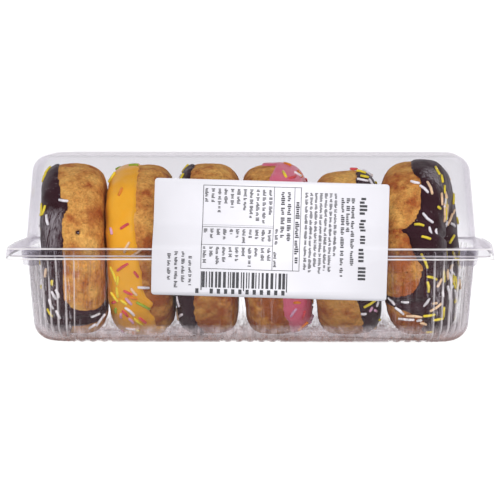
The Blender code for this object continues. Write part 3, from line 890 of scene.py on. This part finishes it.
def edge_highlight_look(name, highlight_share, clearness):
    """A cut edge, bend or crease of the film, with painted highlights: whitish patches, which
    `highlight_share` adds to, stand in for the light that these narrow faces catch. Elsewhere it is
    see-through, letting the share `clearness` of the light pass."""
    look = Look(name)
    clear = look.shader("Transparent", Color=clearness)
    # The whitish shader is a painted highlight: the film itself is clear.
    painted_highlight = look.shader("Principled", Base_Color=(0.84, 0.80, 0.82), Roughness=0.25)
    patches = look.math("MULTIPLY_ADD", look.noise(9 * MM, 2.0), 0.7, highlight_share)
    return look.finish(look.mix_shaders(patches, clear, painted_highlight))


def paper_look(paper):
    look = Look("label_stock")
    tone = look.ramp(look.noise(25 * MM, 2.0), (0.35, scaled(paper, 0.975)), (0.65, scaled(paper, 1.02)))
    fibres = look.bump(look.noise(0.6 * MM, 3.0), 0.03 * MM, 0.4)
    return look.finish(
        look.shader("Principled", Base_Color=tone, Roughness=0.5, Specular_IOR_Level=0.25, Normal=fibres)
    )


def ink_look(ink):
    look = Look("print_ink")
    tone = look.ramp(look.noise(0.5 * MM, 2.0), (0.4, ink), (0.8, scaled(ink, 1.0, 0.05)))
    return look.finish(look.shader("Principled", Base_Color=tone, Roughness=0.45))


def cake_look(number, light, middle, dark):
    """Fried cake crust: golden, blotched with brown, with fine pores and crumbs. Painted shade darkens its
    lower part, doughnut 6's crease, the pores and the pit.
    """
    look = Look(f"cake_crust_{number}")
    upper, lower = BROWNING_AND_LOW_SHADE[number - 1]
    # Browning, plus painted shade that darkens the cake towards the bottom.
    browning_and_shade = look.math("MULTIPLY_ADD", look.lowness(14 * MM, 62 * MM), lower - upper, upper)
    blotch = look.math("MULTIPLY_ADD", look.noise(9 * MM, 5.0, 0.6), 2.4, -0.74)
    blotch = look.math("SUBTRACT", blotch, look.math("MULTIPLY", browning_and_shade, 0.62))
    tone = look.ramp(blotch, (0.0, dark), (0.42, middle), (0.85, light))
    # Dark spots, and painted shade along doughnut 6's crease.
    for at, round_it, across, radius, strength in DARK_SPOTS_AND_CREASE_SHADE:
        if at == number:
            spot = look.spot(skin_point(number, round_it, across), radius, 1.6)
            tone = look.mix_color(look.math("MULTIPLY", spot, strength), tone, dark)
    grain = look.noise(1.2 * MM, 3.0, 0.6)
    grain_tone = look.ramp(grain, (0.30, 0.55), (0.40, 0.94), (0.60, 1.0), (0.70, 1.16))
    tone = look.mix_color(1.0, tone, grain_tone, "MULTIPLY")
    crumb = look.ramp(look.cells(0.9 * MM)["Color"], (0.1, 0.80), (0.9, 1.16))
    tone = look.mix_color(1.0, tone, crumb, "MULTIPLY")
    # Pores in patches, darkened with painted shade; the same pattern dents the bump below.
    pore_shade = look.ramp(look.cells(2.4 * MM)["Distance"], (0.07, 0.22), (0.20, 1.0))
    where = look.ramp(look.noise(6 * MM, 2.0), (0.50, 0.0), (0.62, 0.85))
    pit_tone = look.mix_color(where, 1.0, pore_shade)
    tone = look.mix_color(1.0, tone, pit_tone, "MULTIPLY")
    if number == PIT[0]:
        # The pit's inside is painted dark: painted shade in the hole.
        hole = look.spot(skin_point(*PIT[:3]), PIT[3], 1.2)
        tone = look.mix_color(hole, tone, (0.10, 0.03, 0.01))
    normal = look.bump(grain, 0.2 * MM, 0.6)
    normal = look.bump(pit_tone, 0.3 * MM, 0.5, Normal=normal)
    return look.finish(
        look.shader("Principled", Base_Color=tone, Roughness=0.72, Specular_IOR_Level=0.2, Normal=normal)
    )


def glaze_look(kind, tone, pale, roughness, specks, coat, shine):
    """Set glaze: clouded colour, a soft shine and small pale specks, and on the chocolate grey patches of
    painted reflection.
    """
    look = Look(f"glaze_{kind}")
    tone = look.ramp(look.noise(9 * MM, 4.0, 0.6), (0.38, tone), (0.75, pale))
    dot = look.ramp(look.cells(1.5 * MM)["Distance"], (0.10, 1.0), (0.18, 0.0))
    where = look.ramp(look.noise(6 * MM, 3.0), (0.50, 0.0), (0.66, specks))
    dot = look.mix_color(1.0, dot, where, "MULTIPLY")
    tone = look.mix_color(dot, tone, (0.62, 0.58, 0.58))
    # Grey streaked patches of painted reflection on the chocolate.
    for number, round_it, across, radius in PAINTED_GLAZE_REFLECTIONS if kind == "chocolate" else ():
        spot = look.spot(skin_point(number, round_it, across), radius, 1.3)
        painted_glaze_reflection = look.math("MULTIPLY", look.streaks(0.9 * MM, 9 * MM, 0.35, 0.65), spot)
        tone = look.mix_color(painted_glaze_reflection, tone, (0.30, 0.27, 0.28))
    waves = look.bump(look.noise(2.4 * MM, 2.0), 0.12 * MM, 0.6)
    return look.finish(
        look.shader(
            "Principled",
            Base_Color=tone,
            Roughness=roughness,
            Specular_IOR_Level=shine,
            Specular_Tint=(1.0, 0.86, 0.90),
            Coat_Weight=coat,
            Coat_Roughness=0.12,
            Normal=waves,
        )
    )


def sprinkle_look(name, tone):
    look = Look(f"sprinkles_{name}")
    tone = look.ramp(look.noise(3 * MM, 2.0), (0.35, scaled(tone, 0.8)), (0.6, tone))
    return look.finish(look.shader("Principled", Base_Color=tone, Roughness=0.35))


def stage_look(glow):
    look = Look("pale_stage")
    lit = look.node("ShaderNodeEmission", {"Color": 1.0, "Strength": glow}).outputs[0]
    plain = look.shader("Diffuse", Color=0.35)
    return look.finish(look.node("ShaderNodeAddShader", {0: lit, 1: plain}).outputs[0])


# Settings


def length(name, description, default):
    return bpy.props.FloatProperty(
        name=name, description=description, default=default, min=0.0, precision=5, unit="LENGTH"
    )


def color(name, description, default):
    return bpy.props.FloatVectorProperty(
        name=name, description=description, default=default, size=3, min=0.0, max=1.0, subtype="COLOR"
    )


def share(name, description, default, most=1.0):
    return bpy.props.FloatProperty(name=name, description=description, default=default, min=0.0, max=most)


def power(name, description, default):
    return bpy.props.FloatProperty(name=name, description=description, default=default, unit="POWER")


class DOUGHNUTBOX_FilmSettings(bpy.types.PropertyGroup):
    thickness: length("Thickness", "Thickness of the formed film", FILM)
    flute_depth: length("Flute depth", "How deep the notches between the flutes are", 1.2 * MM)
    tint: color("Tint", "Light that one face lets through, seen straight on", (0.908, 0.903, 0.915))
    edge_tint: color("Edge tint", "Light that it lets through, seen along the film", (0.81, 0.80, 0.825))
    roughness: share("Roughness", "Roughness of the film's shine", 0.10)


class DOUGHNUTBOX_LabelSettings(bpy.types.PropertyGroup):
    width: length("Width", "Width of the label", 109.8 * MM)
    height: length("Height", "Height of the label along its path", 56.8 * MM)
    paper: color("Paper", "Colour of the paper", (0.655, 0.645, 0.685))
    ink: color("Ink", "Colour of the print", (0.03, 0.03, 0.035))


class DOUGHNUTBOX_FoodSettings(bpy.types.PropertyGroup):
    cake_light: color("Light crust", "Palest crust", (0.84, 0.485, 0.125))
    cake_middle: color("Crust", "Most of the crust", (0.68, 0.325, 0.075))
    cake_dark: color("Dark crust", "Browned crust", (0.40, 0.105, 0.024))
    chocolate: color("Chocolate glaze", "Colour of the chocolate glaze", (0.027, 0.006, 0.009))
    orange: color("Orange glaze", "Colour of the orange glaze", (0.88, 0.40, 0.018))
    pink: color("Pink glaze", "Colour of the pink glaze", (0.76, 0.12, 0.20))
    glaze_thickness: length("Glaze thickness", "How far the glaze stands above the cake", 0.9 * MM)
    sprinkle_width: length("Sprinkle width", "Thickness of one sprinkle", 1.45 * MM)
    scattered: bpy.props.IntProperty(
        name="Scattered sprinkles", description="Sprinkles on each glazed face", default=46, min=0
    )
    seed: bpy.props.IntProperty(name="Seed", description="Seed of the scattered sprinkles", default=5)


class DOUGHNUTBOX_StageSettings(bpy.types.PropertyGroup):
    backdrop: share("Backdrop", "How brightly the backdrop glows", 0.88, 4.0)
    world: share("Room", "Brightness of the light from all round", 0.38, 4.0)
    key: power("Main light", "Power of the light above the front", 11.0)
    fill: power("Low light", "Power of the low light at the front", 21.0)
    sides: power("Side lights", "Power of the light at each side", 6.0)
    behind: power("Back light", "Power of the light above the back", 12.0)
    shine: power("Shine", "Power of the small light that the film mirrors", 1.5)
    lens: bpy.props.FloatProperty(name="Lens", description="Focal length in millimetres", default=222.9)


SETTINGS = (
    ("doughnut_box_film", DOUGHNUTBOX_FilmSettings, "Film"),
    ("doughnut_box_label", DOUGHNUTBOX_LabelSettings, "Label"),
    ("doughnut_box_food", DOUGHNUTBOX_FoodSettings, "Food"),
    ("doughnut_box_stage", DOUGHNUTBOX_StageSettings, "Stage"),
)


# Operators


def film_looks(settings):
    """The film's looks, which the first operator that needs them makes."""
    if FILM_LOOKS[0] in bpy.data.materials:
        return [bpy.data.materials[name] for name in FILM_LOOKS]
    tint, edge_tint, roughness = tuple(settings.tint), tuple(settings.edge_tint), settings.roughness
    plain = tint, edge_tint, roughness
    clearer = scaled(tint, 0.5, 0.5), scaled(edge_tint, 0.15, 0.85), roughness
    # The level faces, the lid's top and the base's floor, get a darker copy of the same film: painted shade.
    painted_shade_film = scaled(tint, 0.91), scaled(edge_tint, 0.84), roughness
    return [
        film_look("formed_film", *plain, sheen=0.28),
        edge_highlight_look("film_cut_edge", 0.25, 0.82),
        edge_highlight_look("film_crease", 0.0, 0.96),
        film_look("fluted_film", *clearer, sheen=0.08, streaks=0.07),
        film_look("level_film", *painted_shade_film, sheen=0.5),
        edge_highlight_look("film_bend", 0.15, 0.84),
        film_look("corner_film", *clearer, sheen=0.06, streaks=0.20),
    ]


class DOUGHNUTBOX_OT_make_base(bpy.types.Operator):
    """Makes the fluted base with its rim, short lip and snap sockets"""

    bl_idname = "doughnut_box.make_base"
    bl_label = "Base"

    def execute(self, context):
        settings = context.scene.doughnut_box_film
        places = fluted_places()
        rings, lips = base_rings(places, settings.flute_depth)
        bm = bmesh.new()
        loops = loft(bm, rings)
        close_ring(bm, loops[0])
        fillet_rings = 4  # between the flutes and the rim
        mark_flutes(bm, places, loops, range(1, lips[0] - fillet_rings))
        mark_bands(bm, places, loops, (lips[-1],), BEND)
        drop_back_lips(bm, places, loops, lips)
        face_towards(bm, Vector((0.0, 0.0, -1.0)), [largest_face(bm)])
        mark_level(bm, 0.0, 0.3 * MM)
        looks = film_looks(settings)
        base = finish_piece("box_base_film", bm, "tray", looks, replaced=["box_base"])
        add_film(base, settings.thickness)
        make_cups("snap_sockets", "tray", SOCKET_RADIUS, BASE_TOP_Z - FILM / 2, SOCKET_DEPTH, looks[FORMED])
        return {"FINISHED"}


class DOUGHNUTBOX_OT_make_lid(bpy.types.Operator):
    """Makes the smooth lid with its rim, lip and snap plugs"""

    bl_idname = "doughnut_box.make_lid"
    bl_label = "Lid"

    def execute(self, context):
        settings = context.scene.doughnut_box_film
        places = plain_places()
        rings, lips = lid_rings(places)
        bm = bmesh.new()
        loops = loft(bm, rings)
        close_ring(bm, loops[-1])
        mark_bands(bm, places, loops, (0, 2, 3, 4, 5), BEND)
        mark_bands(bm, places, loops, range(len(loops) - 4, len(loops) - 1), LEVEL)
        drop_back_lips(bm, places, loops, lips)
        face_towards(bm, Vector((0.0, 0.0, 1.0)), [largest_face(bm)])
        mark_level(bm, HEIGHT - 0.3 * MM, HEIGHT)
        looks = film_looks(settings)
        lid = finish_piece("box_lid_film", bm, "lid", looks, replaced=["box_lid"])
        add_film(lid, settings.thickness)
        make_cups("snap_plugs", "lid", PLUG_RADIUS, RIM_Z - FILM / 2, PLUG_DEPTH, looks[FORMED])
        return {"FINISHED"}


class DOUGHNUTBOX_OT_make_hinge(bpy.types.Operator):
    """Makes the rounded fold of film that the lid turns on"""

    bl_idname = "doughnut_box.make_hinge"
    bl_label = "Hinge"

    def execute(self, context):
        settings = context.scene.doughnut_box_film
        middle = (FOLD_LOW + FOLD_HIGH) / 2
        radius = (FOLD_HIGH.z - FOLD_LOW.z) / 2
        profile = []
        for part in even(16):
            turn = math.radians(-125 + 250 * part)
            profile.append((middle.y + radius * math.cos(turn), middle.z + radius * math.sin(turn)))
        bm = bmesh.new()
        sweep(bm, profile, FOLD_LOW.x, FOLD_HIGH.x - FOLD_LOW.x, 10)
        face_towards(bm, Vector((0.0, 1.0, 0.0)))
        looks = film_looks(settings)
        fold = finish_piece("hinge_film", bm, "tray", looks, replaced=["hinge_fold"])
        add_film(fold, settings.thickness * 0.8)
        return {"FINISHED"}


def label_path():
    """(distance down the label's back, y, z) at each bend, and at points past its two ends."""
    wall = WALL_Y - DRAFT * (HEIGHT - LID_ROUND - RIM_Z)
    clear = GAP / math.cos(math.atan(DRAFT))
    lift_y = WALL_Y - DRAFT * (LABEL_LIFT - RIM_Z)
    lip_out = LIP_Y + GAP
    below = LIP_LOW_Z - GAP
    corners = [
        (-wall - clear, HEIGHT - LID_ROUND),
        (-lift_y - clear, LABEL_LIFT),
        (-lip_out, RIM_Z + GAP),
        (-lip_out, below),
        (-lip_out + LABEL_LEAN * (below - FLAP_END), FLAP_END),
    ]
    path, distance = [], 0.0
    for index, corner in enumerate(corners):
        if index:
            distance += (Vector(corner) - Vector(corners[index - 1])).length
        path.append((distance, *corner))
    return path


def on_path(path, distance):
    """(y, z) at a distance down the label's path."""
    for (start, *low), (end, *high) in zip(path, path[1:]):
        if distance <= end:
            break
    return Vector(low).lerp(Vector(high), (distance - start) / (end - start))


class Label:
    """Wraps the flat label, with its middle at (0, 0), onto its path down the box."""

    def __init__(self, settings):
        self.path = label_path()
        self.down = self.path[0][2] - LABEL_TOP + settings.height / 2
        self.turn = Matrix.Rotation(LABEL_TURN, 3, "Z")

    def wrap(self, point, lift):
        flat = self.turn @ Vector((point.x, point.y, 0.0))
        distance = self.down - flat.y
        places = [on_path(self.path, distance + part * BEND_REACH) for part in (-1, -0.5, 0, 0.5, 1)]
        middle = sum(places, Vector((0.0, 0.0))) / len(places)
        along = (places[-1] - places[0]).normalized()
        out = Vector((along.y, -along.x))
        middle += out * lift
        return Vector((LABEL_X + flat.x, *middle))


def wrap_sheet(bm, label, lift):
    """Wraps a flat sheet onto the label's path, with its face to the front."""
    for vert in bm.verts:
        vert.co = label.wrap(vert.co, lift)
    bmesh.ops.recalc_face_normals(bm, faces=bm.faces)
    backward = [face for face in bm.faces if face.normal.y > 0]
    bmesh.ops.reverse_faces(bm, faces=backward)


def slice_rows(bm, turn, reach, spacing):
    """Cuts the flat sheet into rows along its bends, so that it can follow them."""
    across = turn.inverted() @ Vector((0.0, 1.0, 0.0))
    for index in range(round(2 * reach / spacing)):
        bmesh.ops.bisect_plane(
            bm,
            geom=bm.verts[:] + bm.edges[:] + bm.faces[:],
            plane_co=across * (index * spacing - reach),
            plane_no=across,
        )


class DOUGHNUTBOX_OT_make_label(bpy.types.Operator):
    """Makes the paper label, stuck to the lid and hanging over its lip"""

    bl_idname = "doughnut_box.make_label"
    bl_label = "Label"

    def execute(self, context):
        settings = context.scene.doughnut_box_label
        label = Label(settings)
        bm = bmesh.new()
        bmesh.ops.create_grid(bm, x_segments=1, y_segments=1, size=0.5)
        bmesh.ops.scale(bm, vec=(settings.width, settings.height, 1.0), verts=bm.verts)
        round_corners = {"offset": LABEL_CORNER, "segments": 6, "profile": 0.5, "affect": "VERTICES"}
        bmesh.ops.bevel(bm, geom=bm.verts[:], material=-1, **round_corners)
        slice_rows(bm, label.turn, settings.height * 0.54, 0.5 * MM)
        wrap_sheet(bm, label, 0.0)
        look = paper_look(tuple(settings.paper))
        paper = finish_piece("label_sheet", bm, "lid", [look], replaced=["label"])
        sheet = paper.modifiers.new("paper", "SOLIDIFY")
        sheet.thickness = LABEL_THICK
        sheet.offset = 1.0
        return {"FINISHED"}


class Print:
    """Marks on the label, in millimetres from its upper left corner: x to the right, y down."""

    def __init__(self, settings):
        self.bm = bmesh.new()
        self.left = -settings.width / 2
        self.top = settings.height / 2
        self.chance = random.Random(21)

    def block(self, x, y, wide, high):
        """A filled rectangle with its upper left corner at (x, y), in parts that can follow the bends."""
        parts = max(1, round(wide / 2.0)), max(1, round(high / 0.5))
        made = bmesh.ops.create_grid(self.bm, x_segments=parts[0], y_segments=parts[1], size=0.5)
        verts = made["verts"]
        bmesh.ops.scale(self.bm, vec=(wide * MM, high * MM, 1.0), verts=verts)
        place = (self.left + (x + wide / 2) * MM, self.top - (y + high / 2) * MM, 0.0)
        bmesh.ops.translate(self.bm, vec=place, verts=verts)

    def column(self, x, start, end, wide, stroke, run=(2, 7), gap=0.45):
        """Marks down a column: runs of short strokes with gaps, as a stand-in for a line of print."""
        place = start
        while place < end:
            for _ in range(self.chance.randint(*run)):
                if place >= end:
                    break
                reach = wide * self.chance.choice((0.62, 0.7, 1.0))
                self.block(x + (wide - reach) * self.chance.choice((0, 0.5)), place, reach, stroke)
                place += stroke + gap * stroke
            place += stroke * 1.6


class DOUGHNUTBOX_OT_make_print(bpy.types.Operator):
    """Prints plain rules, stripes and columns of strokes on the label"""

    bl_idname = "doughnut_box.make_print"
    bl_label = "Print"

    def execute(self, context):
        settings = context.scene.doughnut_box_label
        ink = Print(settings)
        for rule in RULES:
            ink.block(*rule)
        # the table's columns, then its headings
        for index in range(11):
            for start, least, most in ((4.2, 9, 20), (23.6, 26, 31), (33.4, 37, 42)):
                ink.column(23.7 + index * 3.0, start, ink.chance.uniform(least, most), 1.6, 0.40)
        for column in HEADINGS:
            ink.column(*column)
        # fine columns beside the table
        for index, end in enumerate((43.0, 44.0, 41.0, 44.5, 43.0, 44.0, 36.0)):
            ink.column(70.6 + index * 2.28, 5.0, end, 1.4, 0.36, (3, 9))
        for column in BOLD_COLUMNS:
            ink.column(*column)
        # short columns at the left
        for index, (start, end) in enumerate(((37, 49), (36, 53), (36, 50), (38, 52))):
            ink.column(7.2 + index * 3.3, start, end, 1.6, 0.45)
        # the block of stripes, and the marks under it
        place = 23.6
        while place < 62.5:
            wide = ink.chance.choice((0.5, 0.5, 0.95, 1.3))
            ink.block(place, 45.0, wide, 7.6)
            place += wide + ink.chance.choice((0.5, 0.6, 0.95))
        for place in (23.0, 42.9, 62.9):
            ink.block(place, 45.0, 0.5, 9.0)
        for index in range(13):
            if index != 1:
                ink.block(20.6 + index * 3.35, 53.2, 1.5, 2.3)
        wrap_sheet(ink.bm, Label(settings), LABEL_THICK + INK_GAP)
        look = ink_look(tuple(settings.ink))
        marks = finish_piece("label_print", ink.bm, "lid", [look])
        raised = marks.modifiers.new("ink", "SOLIDIFY")
        raised.thickness = INK_THICK
        raised.offset = 1.0
        return {"FINISHED"}


class DOUGHNUTBOX_OT_make_doughnuts(bpy.types.Operator):
    """Makes the cake of the six doughnuts"""

    bl_idname = "doughnut_box.make_doughnuts"
    bl_label = "Doughnuts"

    def execute(self, context):
        settings = context.scene.doughnut_box_food
        colors = tuple(settings.cake_light), tuple(settings.cake_middle), tuple(settings.cake_dark)
        for number in range(1, len(DOUGHNUTS) + 1):
            make_cake(number, cake_look(number, *colors))
        return {"FINISHED"}


class DOUGHNUTBOX_OT_make_glazes(bpy.types.Operator):
    """Makes the glaze on one side of each doughnut"""

    bl_idname = "doughnut_box.make_glazes"
    bl_label = "Glazes"

    def execute(self, context):
        settings = context.scene.doughnut_box_food
        # colour, paler colour, roughness, strength of the specks, weight of the coat, strength of the shine
        finishes = {
            "chocolate": (tuple(settings.chocolate), (0.042, 0.013, 0.020), 0.40, 0.9, 0.0, 0.13),
            "orange": (tuple(settings.orange), (0.90, 0.46, 0.035), 0.34, 0.15, 0.1, 0.3),
            "pink": (tuple(settings.pink), (0.80, 0.22, 0.31), 0.34, 0.3, 0.1, 0.3),
        }
        looks = {kind: glaze_look(kind, *finish) for kind, finish in finishes.items()}
        for number in range(1, len(DOUGHNUTS) + 1):
            make_glaze(number, settings.glaze_thickness, looks[GLAZES[number - 1][0]])
        return {"FINISHED"}


class DOUGHNUTBOX_OT_make_sprinkles(bpy.types.Operator):
    """Makes the sprinkles, one piece for each colour"""

    bl_idname = "doughnut_box.make_sprinkles"
    bl_label = "Sprinkles"

    def execute(self, context):
        settings = context.scene.doughnut_box_food
        chance = random.Random(settings.seed)
        radius = settings.sprinkle_width / 2
        meshes = {name: bmesh.new() for name in SPRINKLE_COLORS}
        for number in range(1, len(DOUGHNUTS) + 1):
            ring = Ring(number)
            kind, side, edge = GLAZES[number - 1]
            for name, round_it, across, heading, long in FRONT_SPRINKLES[number]:
                placing = (math.radians(round_it), math.radians(across), math.radians(heading), long * MM)
                place_sprinkle(meshes[name], ring, settings.glaze_thickness, radius, chance, placing)
            placed = 0
            while placed < settings.scattered:
                degrees = chance.uniform(-180, 180)
                across = chance.uniform(10, 132)
                name = chance.choice(SPRINKLE_MIXES[kind])
                heading, long = chance.uniform(0, math.pi), chance.uniform(4.5, 7.5) * MM
                if across < glaze_edge(edge, degrees) + 16 or (-75 < degrees < 95 and across < 80):
                    continue
                placing = (math.radians(degrees), side * math.radians(across), heading, long)
                place_sprinkle(meshes[name], ring, settings.glaze_thickness, radius, chance, placing)
                placed += 1
        for name, tint in SPRINKLE_COLORS.items():
            bm = meshes[name]
            bmesh.ops.recalc_face_normals(bm, faces=bm.faces)
            look = sprinkle_look(name, tint)
            finish_piece(f"sprinkles_{name}", bm, "tray", [look], sharp=FOOD_SHARP)
        return {"FINISHED"}


class DOUGHNUTBOX_OT_make_crumbs(bpy.types.Operator):
    """Makes the crumbs on the floor of the base"""

    bl_idname = "doughnut_box.make_crumbs"
    bl_label = "Crumbs"

    def execute(self, context):
        chance = random.Random(9)
        bm = bmesh.new()
        for _ in range(90):
            size = chance.uniform(0.15, 0.42) * MM
            made = bmesh.ops.create_icosphere(bm, subdivisions=1, radius=size)["verts"]
            for vert in made:
                vert.co *= chance.uniform(0.65, 1.2)
            x = chance.uniform(-0.088, 0.088)
            y = chance.choice((-1, 1)) * chance.uniform(0.006, 0.036)
            bmesh.ops.translate(bm, vec=(x, y, FILM + size * 0.75), verts=made)
        look = bpy.data.materials["cake_crust_3"]
        finish_piece("crumbs", bm, "tray", [look], sharp=FOOD_SHARP)
        return {"FINISHED"}


def aim(thing, target):
    thing.rotation_euler = (Vector(target) - thing.location).to_track_quat("-Z", "Y").to_euler()


def add_light(name, place, size, power):
    """A rectangular light that points at the middle of the box."""
    light = bpy.data.lights.new(name, "AREA")
    light.shape = "RECTANGLE"
    light.size, light.size_y = size
    light.energy = power
    made = bpy.data.objects.new(name, light)
    made.location = place
    aim(made, (0.0, 0.0, 0.045))
    bpy.context.scene.collection.objects.link(made)
    return made


def make_backdrop(name, profile, look):
    """A wide sheet with the given (y, z) profile, which isn't part of the object."""
    half = 2.6
    bm = bmesh.new()
    sweep(bm, profile, -half, 2 * half, 1)
    face_towards(bm, Vector((0.0, 0.0, 1.0)))
    mesh = bpy.data.meshes.new(name)
    bm.to_mesh(mesh)
    bm.free()
    mesh.materials.append(look)
    mesh.shade_smooth()
    sheet = bpy.data.objects.new(name, mesh)
    sheet.visible_diffuse = False
    bpy.context.scene.collection.objects.link(sheet)


class DOUGHNUTBOX_OT_make_stage(bpy.types.Operator):
    """Makes the pale floor and backdrop, the lights, the room's light and the camera"""

    bl_idname = "doughnut_box.make_stage"
    bl_label = "Stage"

    def execute(self, context):
        settings = context.scene.doughnut_box_stage
        scene = context.scene
        look = stage_look(settings.backdrop)
        turn, front, back, top = 0.5, -2.6, 1.4, 2.6
        curve = []
        for part in even(12):
            angle = part * math.pi / 2
            curve.append((back + turn * math.sin(angle), turn * (1 - math.cos(angle))))
        make_backdrop("pale_stage", [(front, 0.0), *curve, (back + turn, top)], look)

        large_lights = (
            ("main_light", (-0.05, -1.5, 1.1), (1.1, 0.7), settings.key),
            ("low_light", (0.10, -1.7, 0.12), (1.2, 0.2), settings.fill),
            ("left_light", (-1.3, -0.5, 0.35), (0.5, 0.5), settings.sides),
            ("right_light", (1.3, -0.5, 0.35), (0.5, 0.5), settings.sides),
            ("back_light", (0.0, 1.1, 0.9), (1.0, 0.5), settings.behind),
        )
        for light in large_lights:
            add_light(*light).visible_glossy = False
        add_light("shine_light", (0.75, -1.1, 0.85), (0.25, 0.25), settings.shine)

        world = bpy.data.worlds.new("room")
        world.use_nodes = True
        background = world.node_tree.nodes["Background"]
        background.inputs["Color"].default_value = (0.97, 0.97, 1.0, 1.0)
        background.inputs["Strength"].default_value = settings.world
        scene.world = world

        camera = bpy.data.cameras.new("camera")
        camera.lens = settings.lens
        camera.sensor_width = 36.0
        camera.clip_end = 20.0
        made = bpy.data.objects.new("camera", camera)
        made.location = (0.0367, -1.4955, 0.1233)
        aim(made, (0.0004, -0.0560, 0.0446))
        scene.collection.objects.link(made)
        scene.camera = made

        scene.view_settings.view_transform = "Standard"
        scene.cycles.transparent_max_bounces = 64
        return {"FINISHED"}


class DOUGHNUTBOX_PT_panel(bpy.types.Panel):
    """Lists the settings and the pieces of the doughnut box"""

    bl_idname = "DOUGHNUTBOX_PT_panel"
    bl_label = "Doughnut box"
    bl_space_type = "VIEW_3D"
    bl_region_type = "UI"
    bl_category = "Doughnut box"

    def draw(self, context):
        layout = self.layout
        for attribute, group, title in SETTINGS:
            box = layout.box()
            box.label(text=title)
            for name in group.__annotations__:
                box.prop(getattr(context.scene, attribute), name)
        for operator in OPERATORS:
            layout.operator(operator.bl_idname)


OPERATORS = (
    DOUGHNUTBOX_OT_make_base,
    DOUGHNUTBOX_OT_make_lid,
    DOUGHNUTBOX_OT_make_hinge,
    DOUGHNUTBOX_OT_make_label,
    DOUGHNUTBOX_OT_make_print,
    DOUGHNUTBOX_OT_make_doughnuts,
    DOUGHNUTBOX_OT_make_glazes,
    DOUGHNUTBOX_OT_make_sprinkles,
    DOUGHNUTBOX_OT_make_crumbs,
    DOUGHNUTBOX_OT_make_stage,
)


def register():
    for attribute, group, _ in SETTINGS:
        bpy.utils.register_class(group)
        setattr(bpy.types.Scene, attribute, bpy.props.PointerProperty(type=group))
    for made in (*OPERATORS, DOUGHNUTBOX_PT_panel):
        bpy.utils.register_class(made)


def unregister():
    for made in (DOUGHNUTBOX_PT_panel, *reversed(OPERATORS)):
        bpy.utils.unregister_class(made)
    for attribute, group, _ in reversed(SETTINGS):
        delattr(bpy.types.Scene, attribute)
        bpy.utils.unregister_class(group)


def main():
    register()
    bpy.ops.doughnut_box.make_base()
    bpy.ops.doughnut_box.make_lid()
    bpy.ops.doughnut_box.make_hinge()
    bpy.ops.doughnut_box.make_label()
    bpy.ops.doughnut_box.make_print()
    bpy.ops.doughnut_box.make_doughnuts()
    bpy.ops.doughnut_box.make_glazes()
    bpy.ops.doughnut_box.make_sprinkles()
    bpy.ops.doughnut_box.make_crumbs()
    bpy.ops.doughnut_box.make_stage()


if __name__ == "__main__":
    main()
